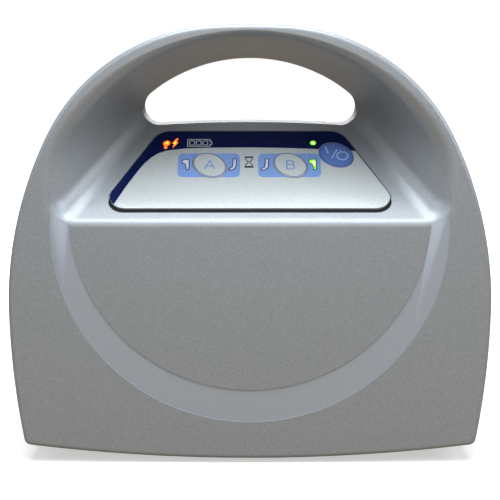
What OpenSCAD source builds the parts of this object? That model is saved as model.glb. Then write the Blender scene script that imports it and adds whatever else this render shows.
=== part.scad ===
// Bedside compression therapy pump: a D-shaped moulded housing with a hand opening and a scooped
// control panel, a linear air compressor and five air valves inside, and a sprung bed hook behind.
// Millimetres. The origin is on the table under the middle of the outer box. The front faces -Y.

/* [Housing] */
// Width across the widest part of the sides
body_w = 196.8; // [192:0.2:202]
// Height from the table to the top of the handle
body_h = 180; // [177:0.5:184]
// Depth of the housing, from its front face to its back face
body_d = 96; // [94:0.5:104]
// Depth of the front cover, from its face to the joint with the rear housing
cover_d = 45; // [43.5:0.5:46.5]
// Wall thickness of both housing shells
wall = 2.5; // [2.2:0.1:2.8]
// Height of the lowest point of the housing above the table
base_gap = 2; // [1.5:0.1:2.5]
// Rounding of the front edge
front_edge_r = 2; // [1:0.1:2.4]
// Rounding of the back edge
back_edge_r = 8; // [6:0.5:9]
// How far the sides of the rear housing draw in towards the back
back_draft = 1.5; // [0.5:0.1:2]

/* [Outline of the housing] */
// Radius of the top
top_r = 258; // [245:1:280]
// Radius of the shoulders
shoulder_r = 80; // [77:0.5:83]
// Radius of the sides above the widest point
side_r = 155.6; // [150:0.2:160]
// Angle above the horizontal at which a side runs into its shoulder
shoulder_start = 27.7; // [26.5:0.1:29]
// Radius of the sides below the widest point
low_side_r = 330; // [300:5:360]
// Radius of the arched bottom
base_r = 725; // [690:5:800]
// Radius of the two bottom corners
corner_r = 3; // [2.8:0.1:5]

/* [Hand opening] */
// Height of the handle bar above the opening
handle_t = 14.3; // [13:0.1:16]
// Depth from the front face to the back of the handle
handle_d = 62; // [59:0.5:66]
// Width of the opening
open_w = 92.8; // [90:0.2:95]
// Radius of the top of the opening
open_r = 69; // [66:0.5:72]
// Radius of the corners of the opening
open_corner_r = 7.2; // [6.6:0.1:7.8]
// Rise of the lower edge of the opening between its corners
open_arch = 1.1; // [0.6:0.1:1.6]

/* [Scoop] */
// Height of the crest, where the scoop floor meets the front face
crest_z = 101.7; // [100:0.1:103]
// Width of the rim of the scoop
rim_w = 157.2; // [155:0.2:159]
// Depth of the top of the rim below the top of the housing
rim_drop = 3.6; // [3:0.1:4.5]
// Radius of the top of the rim
rim_r = 87; // [86:0.5:88.5]
// Radius of the sides of the rim
rim_side_r = 35; // [33.5:0.5:36]
// Radius of the lower corners of the rim
rim_corner_r = 8; // [7:0.5:9]

/* [Band on the front face] */
// Radius of the outer edge of the band
band_r = 80.7; // [79.5:0.1:82]
// Height of the centre of the outer edge
band_z = 98.8; // [98:0.1:100]
// Radius of the inner edge of the band
band_inner_r = 72.8; // [71:0.1:74]
// Height of the centre of the inner edge
band_inner_z = 104.7; // [103:0.1:106]
// Depth of the band below the front face
band_depth = 0.35; // [0.2:0.05:0.6]

/* [Control label] */
// Width of the label at its lower corners, before they are rounded
label_low_w = 124.2; // [122:0.2:126]
// Width of the label at its upper corners, before they are rounded
label_top_w = 77.2; // [75:0.2:79]
// Height of the label, measured up the slope
label_h = 44.9; // [44:0.1:46]
// Distance from the crest up the slope to the label
label_up = 7.3; // [6.8:0.1:8]
// Radius of the lower corners of the label
label_low_r = 6.5; // [5:0.1:8]
// Radius of the upper corners of the label
label_top_r = 8; // [6:0.1:10]
// Thickness of the label plate
label_t = 1; // [0.8:0.1:1.2]
// Gap round the label
label_gap = 0.3; // [0.2:0.05:0.4]
// Groove along the lower edge of the label, for a finger nail
label_groove = 1.3; // [0.8:0.1:1.6]

/* [Keys] */
// Length of each oval key
key_len = 15.8; // [15:0.1:16.2]
// Width of each oval key
key_wid = 12.8; // [12:0.1:13.2]
// Turn of the ovals, from the label's width
key_turn = -46; // [-50:1:-40]
// Distance of keys A and B from the middle of the label
key_x = 16.9; // [16.5:0.1:17.2]
// Distance of keys A and B up the slope from the crest
key_up = 32; // [31.5:0.1:32.5]
// Distance of the power key from the middle of the label
power_x = 36.3; // [36:0.1:36.8]
// Distance of the power key up the slope from the crest
power_up = 38.1; // [37.8:0.1:38.6]
// Travel of each key
key_travel = 0.6; // [0.4:0.05:0.7]
// Height of the keys above the label
key_proud = 0.3; // [0.1:0.05:0.5]
// Gap round each key
key_gap = 0.2; // [0.15:0.05:0.3]
// Width of the flange that keeps each key in
key_flange = 0.8; // [0.6:0.05:0.9]

/* [Bed hook] */
// Width of the hook
hook_w = 72; // [66:1:78]
// Free gap between the back of the housing and the hook
hook_gap = 8.5; // [7.5:0.5:10]
// Thickness of the hook plate
hook_t = 4; // [3:0.5:5]
// How far the lip at the lower end of the hook stands out
hook_lip = 3.5; // [3:0.5:5]
// Height of the hinge pin
pin_z = 92; // [90:0.5:93]
// Radius of the hinge pin
pin_r = 2; // [1.8:0.1:2.2]
// Radius of the hook's barrel
barrel_r = 4.8; // [4.6:0.1:5]
// Height of the lower end of the hook
hook_low_z = 24; // [20:1:30]

/* [Connections] */
// Radius of the air nipples outside
nipple_r = 2.5; // [2.2:0.1:2.8]
// Length of the air nipples outside
nipple_len = 8; // [6:0.5:9]
// Distance between the air nipples of one port
nipple_pitch = 10; // [9.5:0.1:10.5]
// Width of a port's flange
port_w = 34; // [32:0.5:36]
// Height of a port's flange
port_h = 17; // [15:0.5:18]
// Width of the mains inlet's flange
inlet_w = 48; // [47:0.5:49]
// Height of the mains inlet's flange
inlet_h = 24; // [23:0.5:25]
// Width of the intake cover
vent_w = 30; // [28:0.5:31]
// Height of the intake cover
vent_h = 26; // [24:0.5:27]
// Number of slots in the intake cover
vent_slots = 6; // [4:1:7]

/* [Battery] */
// Width of the battery pack
battery_w = 58; // [54:0.5:60]
// Height of the battery pack
battery_h = 30; // [28:0.5:31]

/* [Air pump and valves] */
// Travel of the armature each way
stroke = 1.5; // [1:0.1:1.6]
// Radius of a valve coil
coil_r = 8.5; // [8:0.1:9]
// Height of a valve coil
coil_h = 26; // [25:0.5:28]
// Radius of a valve plunger
plunger_r = 3.4; // [3:0.1:3.8]
// Lift of a valve plunger
valve_lift = 1.2; // [0.8:0.1:1.5]

/* [Fasteners and feet] */
// Radius of a housing screw's shank
screw_r = 1.75; // [1.6:0.05:1.9]
// Radius of a housing screw's head
screw_head_r = 3; // [2.8:0.1:3.1]
// Length of a housing screw's shank
screw_len = 34; // [30:1:36]
// Radius of a rubber foot
foot_r = 6; // [5:0.5:6.5]
// Distance of the feet from the middle of the housing
foot_x = 64; // [60:1:66]

/* [Hidden] */

// Colours
SHELL = [0.60, 0.62, 0.65];
REAR = [0.52, 0.54, 0.57];
PALE = [0.86, 0.89, 0.90];
KEY_BLUE = [0.35, 0.48, 0.72];
RUBBER = [0.13, 0.13, 0.14];
STEEL = [0.72, 0.73, 0.74];
BOARD = [0.10, 0.36, 0.22];
COPPER = [0.72, 0.42, 0.22];
CREAM = [0.88, 0.86, 0.78];

// Clearances
EPS = 0.01;               // thickness of a slice that a hull starts or ends on
OVER = 1;                 // how far a cut runs past the face it opens
RUN_GAP = 0.05;           // radial clearance of a pin or shank in its hole
SLIDE_GAP = 0.1;          // radial clearance of a plunger in its coil
PART_GAP = 0.3;           // clearance round a piece that drops into a hole
$fn = 48;

// Whole object
total_d = body_d + hook_gap + hook_t + hook_lip;
front_y = -total_d / 2;

// Outline of the housing: tangent arcs from the top down, each with its centre
half_w = body_w / 2;
top_c = [0, body_h - top_r];
shoulder_end = acos((half_w - side_r + (side_r - shoulder_r) * cos(shoulder_start)) / (top_r - shoulder_r));
shoulder_c = top_c + (top_r - shoulder_r) * [cos(shoulder_end), sin(shoulder_end)];
side_c = shoulder_c - (side_r - shoulder_r) * [cos(shoulder_start), sin(shoulder_start)];
low_side_c = [half_w - low_side_r, side_c[1]];
base_c = [0, base_gap + base_r];

// Hand opening and scoop
open_top_z = body_h - handle_t;
open_c = [0, open_top_z - open_r];
open_corner_x = open_w / 2 - open_corner_r;
open_corner_z = open_c[1] + sqrt(pow(open_r - open_corner_r, 2) - pow(open_corner_x, 2));
floor_top_z = open_corner_z - open_corner_r + open_arch;
arch_fall = open_corner_z - floor_top_z;
open_arch_r = (pow(open_corner_x, 2) + pow(arch_fall, 2) - pow(open_corner_r, 2))
  / (2 * (open_corner_r - arch_fall));
open_arch_c = [0, floor_top_z - open_arch_r];
slope = atan((floor_top_z - crest_z) / cover_d);
skin = wall / cos(slope);
rim_c = [0, body_h - rim_drop - rim_r];
rim_side_c = [rim_w / 2 - rim_side_r,
  rim_c[1] + sqrt(pow(rim_r - rim_side_r, 2) - pow(rim_w / 2 - rim_side_r, 2))];
rim_corner_c = [rim_w / 2 - rim_corner_r, crest_z + rim_corner_r];
band_top_z = crest_z + 2 * rim_corner_r;

// Profile of the rear housing, seen from the side
shelf_low_z = pin_z + barrel_r;
shelf_top_z = floor_top_z - 6.4;
shelf_fall = (shelf_top_z - shelf_low_z) / (handle_d - body_d);
shelf_low_r = 14;
shelf_top_r = 8;

// Screws that join the shells; their places follow the battery bay below
boss_r = screw_r + 2.4;
head_hole_r = screw_head_r + PART_GAP;
boss_wall = 1.4;
screw_head_t = 2.4;
screw_seat_y = cover_d + 18;       // where the heads of the four long-boss screws bear
handle_seat_y = handle_d - 5;      // where the heads of the two handle screws bear
handle_screw_len = screw_len - 6;
pilot_spare = 2;                   // how much deeper a pilot hole is than its screw

// Feet
foot_front_y = 22;
foot_back_y = body_d - 16;
foot_sink = 1;
// Height of the underside at x and depth y, and of the floor inside the rear housing
function under_z(x, y) = base_gap + pow(x, 2) / (2 * base_r)
  + max(0, back_draft * (y - cover_d) / (body_d - back_edge_r - cover_d));
function floor_z(x) = base_gap + pow(x, 2) / (2 * base_r) + wall + back_draft;
function foot_top(y) = under_z(foot_x, y) + foot_sink;

// Keys and their board, measured square to the scoop floor
flange_top = -wall - 0.1;
flange_t = 1.2;
stem_r = 2;
stem_len = 2;
stem_end = flange_top - stem_len;
switch_top = stem_end - key_travel - 0.1;
switch_h = 3.5;
switch_w = 6;
lamp = [2, 1.6, 1.2];
board_t = 1.6;
key_board_top = switch_top - switch_h;
key_board_w = 100;
key_board_low = label_up + 4.7;
key_board_high = label_up + label_h - 4.7;
key_post_r = 3;
small_screw_r = 1.05;
small_head_r = 2;
small_head_t = 1.5;
small_screw_len = 9;
key_places = [[-key_x, key_up], [key_x, key_up], [power_x, power_up]];
key_posts = [for (sx = [-1, 1], v = [key_board_low + 4, key_board_high - 4]) [sx * (key_board_w / 2 - 4), v]];
// Windows under the label's symbols: middle across, middle up the slope, width, height
windows = [
  [-33.9, 44.6, 6.4, 5.4],
  [-21, 45.2, 9.6, 4.2],
  [26.8, 45.2, 2.8, 2.8],
  [-key_x - 10.2, key_up + 0.3, 3.2, 5.4],
  [-key_x + 9.9, key_up + 0.3, 3.2, 5.4],
  [key_x - 10.2, key_up + 0.3, 3.2, 5.4],
  [key_x + 9.9, key_up + 0.3, 3.2, 5.4]
];
window_gap = 0.15;
guide_gap = 1.5;                   // from the board up to a light guide, over its lamp

// Bed hook
pin_y = body_d + barrel_r + 1;
hook_y = body_d + hook_gap;
ear_t = 6;
ear_gap = 0.5;
pad_t = 2;
pad_w = 12;
pad_h = 40;
pad_inset = 4;
pad_rise = 6;
stop_w = 12;
stop_h = 5;
stop_gap = 0.1;                    // what the closed hook leaves free at its stop
stop_z = pin_z - barrel_r - 1.5;   // top of the stop
spring_wire_r = 0.4;
spring_turns = 6;
spring_pitch = 1.3;
spring_r = pin_r + 0.45 + spring_wire_r;
spring_pocket_r = spring_r + spring_wire_r + 0.35;
spring_pocket = spring_turns * spring_pitch + 2 * spring_wire_r + 1;

// Connections at the back: middle across and height
port_a = [-half_w + 34.4, 62];
port_b = [port_a[0], 34];
inlet = [half_w - 38.4, 30];
vent = [inlet[0], 70];
flange_out = 2;
stub_r = 3;
lumen_r = 1.4;
block_d = 11;
block_y = body_d - wall - 2.5 - block_d;
block_w = 2 * nipple_pitch + 10;
block_high_z = 74;
hose_z = 27;
hose_nipple_r = 2;
hose_bore_r = 2.3;
hose_r = 3.4;
hose_nipple_len = 7;
hose_end_gap = 0.5;
stub_sink = 3;                     // how far a port's stub stays off the front of the block
function port_lumens(p) = [for (k = [-1, 0, 1]) [p[0] + k * nipple_pitch, p[1]]];
hose_places = port_lumens([port_a[0], hose_z]);
inlet_body_w = 28;
inlet_body_h = 21;
inlet_body_d = 24;
inlet_tab = [4.5, 0.8];
inlet_tab_len = 6;
inlet_pitch = 7.2;
inlet_fix = [for (sx = [-1, 1]) [inlet[0] + sx * (inlet_w / 2 - 4), inlet[1]]];
pan_head_t = 1.6;
washer_r = 2.8;
inlet_mouth = [24, 17];
inlet_depth = 15.5;
inlet_floor_y = body_d + flange_out - inlet_depth;
blade = [4, 9.5, 2];
blade_places = [[-7, -2.5], [7, -2.5], [0, 2.5]];

// Battery bay and chassis
battery_front_gap = 6;
battery_back_gap = 8.5;
battery_y = cover_d + battery_front_gap;
battery_d = body_d - wall - battery_back_gap - battery_y;
battery_z = floor_z(battery_w / 2) + 0.4;
bay_top = battery_z + battery_h + 2;
plate_t = 2;
plate_y = cover_d - 5;
plate_half_w = half_w - 25.4;
plate_low_z = 18.5;
plate_high_z = 92;
shelf_half_w = half_w - 53;
shelf_back_y = body_d - wall - 5.5;
door_post_x = battery_w / 2 + 5;
door_post_y = battery_y + battery_d / 2;
door_half_w = door_post_x + 4;
door_half_d = battery_d / 2 + 1;
door_post_r = 3;
door_post_z = floor_z(door_post_x + door_post_r) + 0.1;
door_screw_r = 1.25;
door_head_r = 2.3;
door_head_t = 1.2;
door_seat_z = under_z(door_post_x, door_post_y) + door_head_t;
chassis_fix = [[half_w - 32.4, 84], [half_w - 14.4, 52]];
chassis_boss_r = 3.6;
chassis_screw_r = 1.5;
chassis_screw_len = 10;
chassis_hole_len = 12;
lead_hole_z = 27.2;
lead_hole_r = 4.5;

// Places of the screws that join the shells, across the front: x and z
low_screw = [door_post_x + 8, base_gap + 12];
high_screw = [half_w - 20.4, crest_z - 13.7];
handle_screw = [rim_w / 2 - 12.6, body_h - 37];
block_low_z = low_screw[1] + head_hole_r + boss_wall + 1;

// Boards
standoff = 4.4;
standoff_r = 2.5;
board_y = plate_y - standoff - board_t;
control_x = [-half_w + 38.4, half_w - 60.4];
control_mid_x = (control_x[0] + control_x[1]) / 2;
control_z = [38, 88];
power_board_x = [half_w - 55.4, half_w - 25.9];
power_board_z = [46, 79];
control_holes = [for (x = control_x, z = control_z) [x + (x < 0 ? 4 : -4), z + (z < 60 ? 4 : -4)]];
power_holes = [for (x = [power_board_x[1]], z = power_board_z) [x - 3.5, z + (z < 60 ? 4 : -4)]];
board_holes = concat(control_holes, power_holes);
transformer_w = 20;
transformer_h = 24;
transformer_d = 24;
transformer_x = (power_board_x[0] + power_board_x[1]) / 2 - 3;
transformer_z = power_board_z[0] + 7;
// Parts on the control board: place across, how far down from its top edge, width, height, thickness
control_chips = [
  [control_mid_x - 4, 14, 14, 14, 1.6],
  [control_mid_x + 15, 14, 10, 7, 1.6],
  [control_x[1] - 14, 22, 12, 6, 2],
  [control_mid_x - 17, 40, control_x[1] - control_x[0] - 38, 6, 3.4],
  [control_x[1] - 18, 6, 18, 5, 4]
];
lead_plug = [10, 2.8, 5];
mains_plug = [16, 5, 8];
buzzer_r = 11;
buzzer_t = 9;
buzzer = [control_x[0] + 14, control_z[1] - 16];

// Compressor; its length follows the width of the housing
head_end = half_w - 56.4;
casing_half = head_end * 11 / 21;
coil_half = casing_half * 5 / 11;
magnet_half = casing_half * 6 / 11;
isolator_h = 6;
isolator_edge = 6;                 // how far an isolator stands in from the casing's edges
isolator_r = 5;
casing_front_y = cover_d + 4;
casing_back_gap = 6.5;
casing_d = body_d - wall - casing_back_gap - casing_front_y;
casing_y = casing_front_y + casing_d / 2;
casing_h = casing_d + 2;
casing_z = bay_top + plate_t + isolator_h + casing_h / 2;
casing_bore_r = casing_d / 2 - 3;
head_r = casing_bore_r + 2;
diaphragm_t = 1;
shaft_r = 3;
magnet_r = casing_bore_r - 7;
coil_clear = 0.6;
piston_r = magnet_r + 1;
piston_t = 2;
piston_x = casing_half + diaphragm_t + stroke + 0.2;
shaft_half = piston_x + piston_t + 2;
chamber_r = piston_r + 2.5;
chamber_end = shaft_half + stroke + 1;
head_x = casing_half + diaphragm_t;
bridge_x = (head_x + chamber_end) / 2;
air_hole_r = 1.1;
air_hole_sink = 4.5;               // how far the top air hole starts below the chamber's crown
head_nipple_len = 6;

// Valve manifold
valve_count = 5;
valve_x0 = port_a[0] - 4;
silencer_x = half_w - 18.4;
valve_pitch = (silencer_x - valve_x0 - 60) / (valve_count - 1);
valve_y = 19;
manifold_x = [port_a[0] - 15, valve_x(valve_count - 1) + 24];
manifold_y = [valve_y - 11, valve_y + 11];
manifold_z = [20, 34];
coil_wall = 4;
plunger_room = 4.8;                // left over a lifted plunger for its spring
plunger_len = coil_h - coil_wall - valve_lift - plunger_room;
spacer_x = [valve_x0 + 1.5 * valve_pitch, manifold_x[1] - 13];
spacers = [for (x = spacer_x) [x, hose_z - 4]];
spacer_r = 3.5;
sensor = [12, 14, 9];
manifold_screw_r = 1.6;

// Silencer
silencer_c = [silencer_x, valve_y + 1];
silencer_r = 9;
silencer_z = [22, 56];

// Routes, points chosen by hand: x, depth behind the front face, z
pump_turn_x = head_end + 8;
pump_reach = silencer_c[0] - pump_turn_x;
pump_route = [
  [head_end, casing_y, casing_z], [head_end + 4, casing_y, casing_z], [pump_turn_x, casing_y, casing_z],
  [pump_turn_x + pump_reach / 3, casing_y - 1, casing_z],
  [pump_turn_x + pump_reach * 2 / 3, casing_y - 4, casing_z + 1],
  [pump_turn_x + pump_reach * 0.9, casing_y - 11, casing_z + 3], [silencer_c[0], cover_d + 3, casing_z + 5],
  [silencer_c[0], cover_d - 7, casing_z + 5], [silencer_c[0], cover_d - 16, casing_z + 4],
  [silencer_c[0], silencer_c[1] + 2.5, silencer_z[1] + 12], [silencer_c[0], silencer_c[1], silencer_z[1] + 8],
  [silencer_c[0], silencer_c[1], silencer_z[1] + 4], [silencer_c[0], silencer_c[1], silencer_z[1]]
];
bridge_rise = 15;
bridge_route = [
  [-bridge_x, casing_y, casing_z + head_r], [-bridge_x, casing_y, casing_z + head_r + 4],
  [-bridge_x, casing_y, casing_z + head_r + 8],
  [-bridge_x + 2, casing_y, casing_z + head_r + 12],
  [-bridge_x + 7, casing_y, casing_z + head_r + bridge_rise],
  [bridge_x - 7, casing_y, casing_z + head_r + bridge_rise],
  [bridge_x - 2, casing_y, casing_z + head_r + 12],
  [bridge_x, casing_y, casing_z + head_r + 8], [bridge_x, casing_y, casing_z + head_r + 4],
  [bridge_x, casing_y, casing_z + head_r]
];
lead_x = inlet[0] - 2;
lead_y = 30;
lead_back_y = body_d - inlet_body_d - inlet_tab_len;
lead_rise = power_board_z[0] - inlet[1];
// Each bend of the mains lead: its share of the way forward from the inlet, and of the way up to the board
lead_bends = [
  [0, 0], [0.11, 0], [0.22, 0], [0.39, 0.03], [0.56, 0.06], [0.72, 0.125],
  [0.86, 0.22], [0.97, 0.41], [1, 0.625], [1, 0.81], [1, 1]
];
mains_route = [for (b = lead_bends)
  [lead_x, lead_back_y + (lead_y - lead_back_y) * b[0], inlet[1] + lead_rise * b[1]]];
battery_lead_x = 10;
battery_lead_y = plate_y - 3;
battery_route = [
  [battery_lead_x, battery_y, 25], [battery_lead_x, battery_y - 2, 25], [battery_lead_x, battery_y - 4, 25],
  [battery_lead_x, battery_y - 8, 26], [battery_lead_x, battery_lead_y + 2, 28.5],
  [battery_lead_x, battery_lead_y, 32], [battery_lead_x, battery_lead_y, 35],
  [battery_lead_x, battery_lead_y, control_z[0]]
];
battery_wire_x = 1.5;
ribbon_x = control_x[1] - 18;
ribbon_w = 16;
ribbon_t = 0.6;
ribbon_fold = 6;
wire_r = 1.2;
wire_pitch = 4;

// ---------------------------------------------------------------- outlines and helpers

// Points on an arc about c from angle a0 to a1, both ends included
function arc(c, r, a0, a1, n) = [for (i = [0:n]) let (a = a0 + (a1 - a0) * i / n) c + r * [cos(a), sin(a)]];
function mirrored(points) = [for (i = [len(points) - 1:-1:0]) [-points[i][0], points[i][1]]];
function bearing(from, to) = atan2(to[1] - from[1], to[0] - from[0]);
// Where a circle about c0 of radius r0 meets one about c1 of radius r1, on the right of the way to c1
function meeting(c0, r0, c1, r1) =
  let (
    d = norm(c1 - c0),
    a = (d * d + r0 * r0 - r1 * r1) / (2 * d),
    h = sqrt(r0 * r0 - a * a),
    u = (c1 - c0) / d
  )
  c0 + a * u + h * [u[1], -u[0]];

// Outline of the housing, drawn in by inset all round
function outline_side(inset) =
  let (
    r = max(corner_r - inset, 0.3),
    k = meeting(low_side_c, low_side_r - inset - r, base_c, base_r - inset - r)
  )
  concat(
    arc(base_c, base_r - inset, -90, bearing(base_c, k), 6),
    arc(k, r, bearing(base_c, k), bearing(low_side_c, k), 4),
    arc(low_side_c, low_side_r - inset, bearing(low_side_c, k) + 1, 0, 5),
    arc(side_c, side_r - inset, 3, shoulder_start, 5),
    arc(shoulder_c, shoulder_r - inset, shoulder_start + 5, shoulder_end, 9),
    arc(top_c, top_r - inset, shoulder_end + 1.5, 90, 1)
  );
module outline(inset) {
  half = outline_side(inset);
  polygon(concat(half, [for (p = mirrored(half)) if (p[0] < -EPS) p]));
}

// Rim of the scoop, drawn out by grow all round
function rim_side(grow) =
  let (a = bearing(rim_c, rim_side_c))
  concat(
    arc(rim_corner_c, rim_corner_r + grow, -90, 0, 5),
    arc(rim_side_c, rim_side_r + grow, 0, a, 4),
    arc(rim_c, rim_r + grow, a + 5, 90, 9)
  );
module rim(grow) polygon(concat(rim_side(grow), [for (p = mirrored(rim_side(grow))) if (p[0] < -EPS) p]));

// Hand opening, drawn out by grow; a floor height cuts its lower edge straight
function open_side(grow) =
  let (k = [open_corner_x, open_corner_z])
  concat(
    arc(open_arch_c, open_arch_r - grow, 90, bearing(open_arch_c, k), 3),
    arc(k, open_corner_r + grow, bearing(k, open_arch_c) + 15, bearing(open_c, k), 6),
    arc(open_c, open_r + grow, bearing(open_c, k) + 6, 90, 6)
  );
module opening(grow, floor_z = -1000) {
  half = [for (p = open_side(grow)) [p[0], max(p[1], floor_z)]];
  polygon(concat(half, [for (p = mirrored(half)) if (p[0] < -EPS) p]));
}

// Corners of a polygon rounded with arcs: each corner is [x, y, radius]
function unit(v) = v / norm(v);
function rounded(corners, steps = 6) = [
  for (i = [0:len(corners) - 1])
    let (
      n = len(corners),
      p = [corners[i][0], corners[i][1]],
      q = [corners[(i + n - 1) % n][0], corners[(i + n - 1) % n][1]],
      s = [corners[(i + 1) % n][0], corners[(i + 1) % n][1]],
      u = unit(q - p),
      v = unit(s - p),
      half_angle = acos(u * v) / 2,
      reach = corners[i][2] / sin(half_angle),
      c = p + unit(u + v) * reach,
      a0 = bearing(c, p + u * corners[i][2] / tan(half_angle)),
      turn = bearing(c, p + v * corners[i][2] / tan(half_angle)) - a0,
      sweep = turn > 180 ? turn - 360 : turn < -180 ? turn + 360 : turn
    )
      each arc(c, corners[i][2], a0, a0 + sweep, steps)
];

// Shapes drawn in x and z, standing from depth y0 to y1
module prism(y0, y1) translate([0, y1, 0]) rotate([90, 0, 0]) linear_extrude(y1 - y0) children();
// Shapes drawn in depth and z, reaching from x0 to x1
module across(x0, x1) translate([x0, 0, 0]) rotate([90, 0, 90]) linear_extrude(x1 - x0) children();
// A round bar along the depth, at x and z
module bar_y(place, r, y0, y1)
  translate([place[0], y0, place[1]]) rotate([-90, 0, 0]) cylinder(r = r, h = y1 - y0);
// A round bar across, at depth and z
module bar_x(place, r, x0, x1)
  translate([x0, place[0], place[1]]) rotate([0, 90, 0]) cylinder(r = r, h = x1 - x0);
module bar_z(place, r, z0, z1) translate([place[0], place[1], z0]) cylinder(r = r, h = z1 - z0);
module box(low, high) translate(low) cube(high - low);
module both_sides() {
  children();
  mirror([1, 0, 0]) children();
}
// Depth is counted from the front face inside every module below
module in_place() translate([0, front_y, 0]) children();
// On the scoop floor: x across, y up the slope from the crest, z square out of the floor
module on_slope() translate([0, 0, crest_z]) rotate([slope, 0, 0]) children();
module rounded_box(w, h, r) polygon(rounded([
  [-w / 2, -h / 2, r], [w / 2, -h / 2, r], [w / 2, h / 2, r], [-w / 2, h / 2, r]
], 4));
module oval(grow) rotate(key_turn) polygon([
  for (i = [0:31]) let (a = i * 360 / 32) [(key_len / 2 + grow) * cos(a), (key_wid / 2 + grow) * sin(a)]
]);

// A tube swept along a route: r outside, bore inside (0 for a solid one)
function route_way(route, i) = unit(route[min(i + 1, len(route) - 1)] - route[max(i - 1, 0)]);
function ring(route, i, r, sides) =
  let (t = route_way(route, i), u = unit(cross(t, [1, 1.3, 0.7])), v = cross(t, u))
  [for (k = [0:sides - 1]) let (a = k * 360 / sides) route[i] + r * (u * cos(a) + v * sin(a))];
// Side faces between neighbouring rings that start at point number first; inner ones face the bore
function ring_walls(n, sides, first, inner) = [
  for (i = [0:n - 2], k = [0:sides - 1], half = [0, 1])
    let (
      a = first + i * sides + k,
      b = first + i * sides + (k + 1) % sides,
      f = half == 0 ? [a, b + sides, b] : [a, a + sides, b + sides]
    )
      inner ? [f[0], f[2], f[1]] : f
];
module swept(route, r, sides) {
  n = len(route);
  points = [for (i = [0:n - 1]) each ring(route, i, r, sides)];
  ends = [[for (k = [0:sides - 1]) k], [for (k = [sides - 1:-1:0]) (n - 1) * sides + k]];
  polyhedron(points, concat(ends, ring_walls(n, sides, 0, false)));
}
module swept_tube(route, r, bore, sides) {
  n = len(route);
  inner = n * sides;
  points = concat(
    [for (i = [0:n - 1]) each ring(route, i, r, sides)],
    [for (i = [0:n - 1]) each ring(route, i, bore, sides)]
  );
  ends = [for (i = [0, n - 1], k = [0:sides - 1], half = [0, 1])
    let (
      a = i * sides + k,
      b = i * sides + (k + 1) % sides,
      f = half == 0 ? [a, b, b + inner] : [a, b + inner, a + inner]
    )
      i == 0 ? f : [f[0], f[2], f[1]]];
  polyhedron(points, concat(ends, ring_walls(n, sides, 0, false), ring_walls(n, sides, inner, true)));
}
function finer(route, steps) = [
  for (i = [0:len(route) - 2], s = [0:steps - 1])
    let (
      f = s / steps,
      a = route[max(i - 1, 0)],
      b = route[i],
      c = route[i + 1],
      d = route[min(i + 2, len(route) - 1)]
    )
      0.5 * (2 * b + (c - a) * f + (2 * a - 5 * b + 4 * c - d) * f * f + (3 * b - a - 3 * c + d) * f * f * f),
  route[len(route) - 1]
];

// ---------------------------------------------------------------- housing

module cover_outer() hull() {
  for (a = [0, 40, 90]) {
    back = front_edge_r * (1 - sin(a));
    prism(back, back + EPS) outline(front_edge_r * (1 - cos(a)));
  }
  prism(cover_d - EPS, cover_d) outline(0);
}
module scoop(grow) hull() {
  prism(-EPS, 0) rim(grow);
  prism(cover_d - EPS, cover_d) opening(grow, floor_top_z - grow);
}
module label_shape(grow) polygon(rounded([
  [-label_low_w / 2 - grow, label_up - grow, label_low_r],
  [label_low_w / 2 + grow, label_up - grow, label_low_r],
  [label_top_w / 2 + grow, label_up + label_h + grow, label_top_r],
  [-label_top_w / 2 - grow, label_up + label_h + grow, label_top_r]
]));
module key_post_places() for (p = key_posts) translate([p[0], p[1], 0]) children();

module front_cover() color(SHELL) in_place() difference() {
  cover_outer();
  difference() {
    prism(wall, cover_d + OVER) outline(wall);
    scoop(skin);
    both_sides() {
      bar_y(low_screw, boss_r, 0, cover_d + 2 * OVER);
      bar_y(high_screw, boss_r, 0, cover_d + 2 * OVER);
      bar_y(handle_screw, boss_r, wall, cover_d + 2 * OVER);
    }
    bar_z(silencer_c, silencer_r / 2, 0, silencer_z[0]);
    on_slope() key_post_places()
      translate([0, 0, key_board_top]) cylinder(r = key_post_r, h = -key_board_top);
  }
  scoop(0);
  prism(cover_d - 2, cover_d + OVER) opening(0);
  both_sides() {
    for (s = [low_screw, high_screw])
      bar_y(s, screw_r + RUN_GAP, screw_seat_y - screw_len - pilot_spare, cover_d + OVER);
    bar_y(handle_screw, screw_r + RUN_GAP, handle_seat_y - handle_screw_len - pilot_spare, cover_d + OVER);
    bar_z([foot_x, foot_front_y], foot_r + RUN_GAP, -OVER, foot_top(foot_front_y));
  }
  on_slope() {
    translate([0, 0, -label_t]) linear_extrude(label_t + OVER) {
      label_shape(label_gap);
      translate([0, -label_groove]) label_shape(label_gap);
    }
    for (p = key_places) translate([p[0], p[1], -wall - OVER]) linear_extrude(wall + OVER) oval(key_gap);
    for (w = windows) translate([w[0], w[1], -wall / 2 - OVER / 2])
      cube([w[2] + 2 * window_gap, w[3] + 2 * window_gap, wall + OVER], center = true);
    key_post_places() translate([0, 0, key_board_top - OVER])
      cylinder(r = small_screw_r + RUN_GAP, h = small_screw_len - 3 + OVER);
  }
  prism(-OVER, band_depth) intersection() {
    difference() {
      translate([0, band_z]) circle(r = band_r, $fn = 120);
      translate([0, band_inner_z]) circle(r = band_inner_r, $fn = 120);
    }
    translate([-half_w, 0]) square([body_w, band_top_z]);
  }
}

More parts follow.
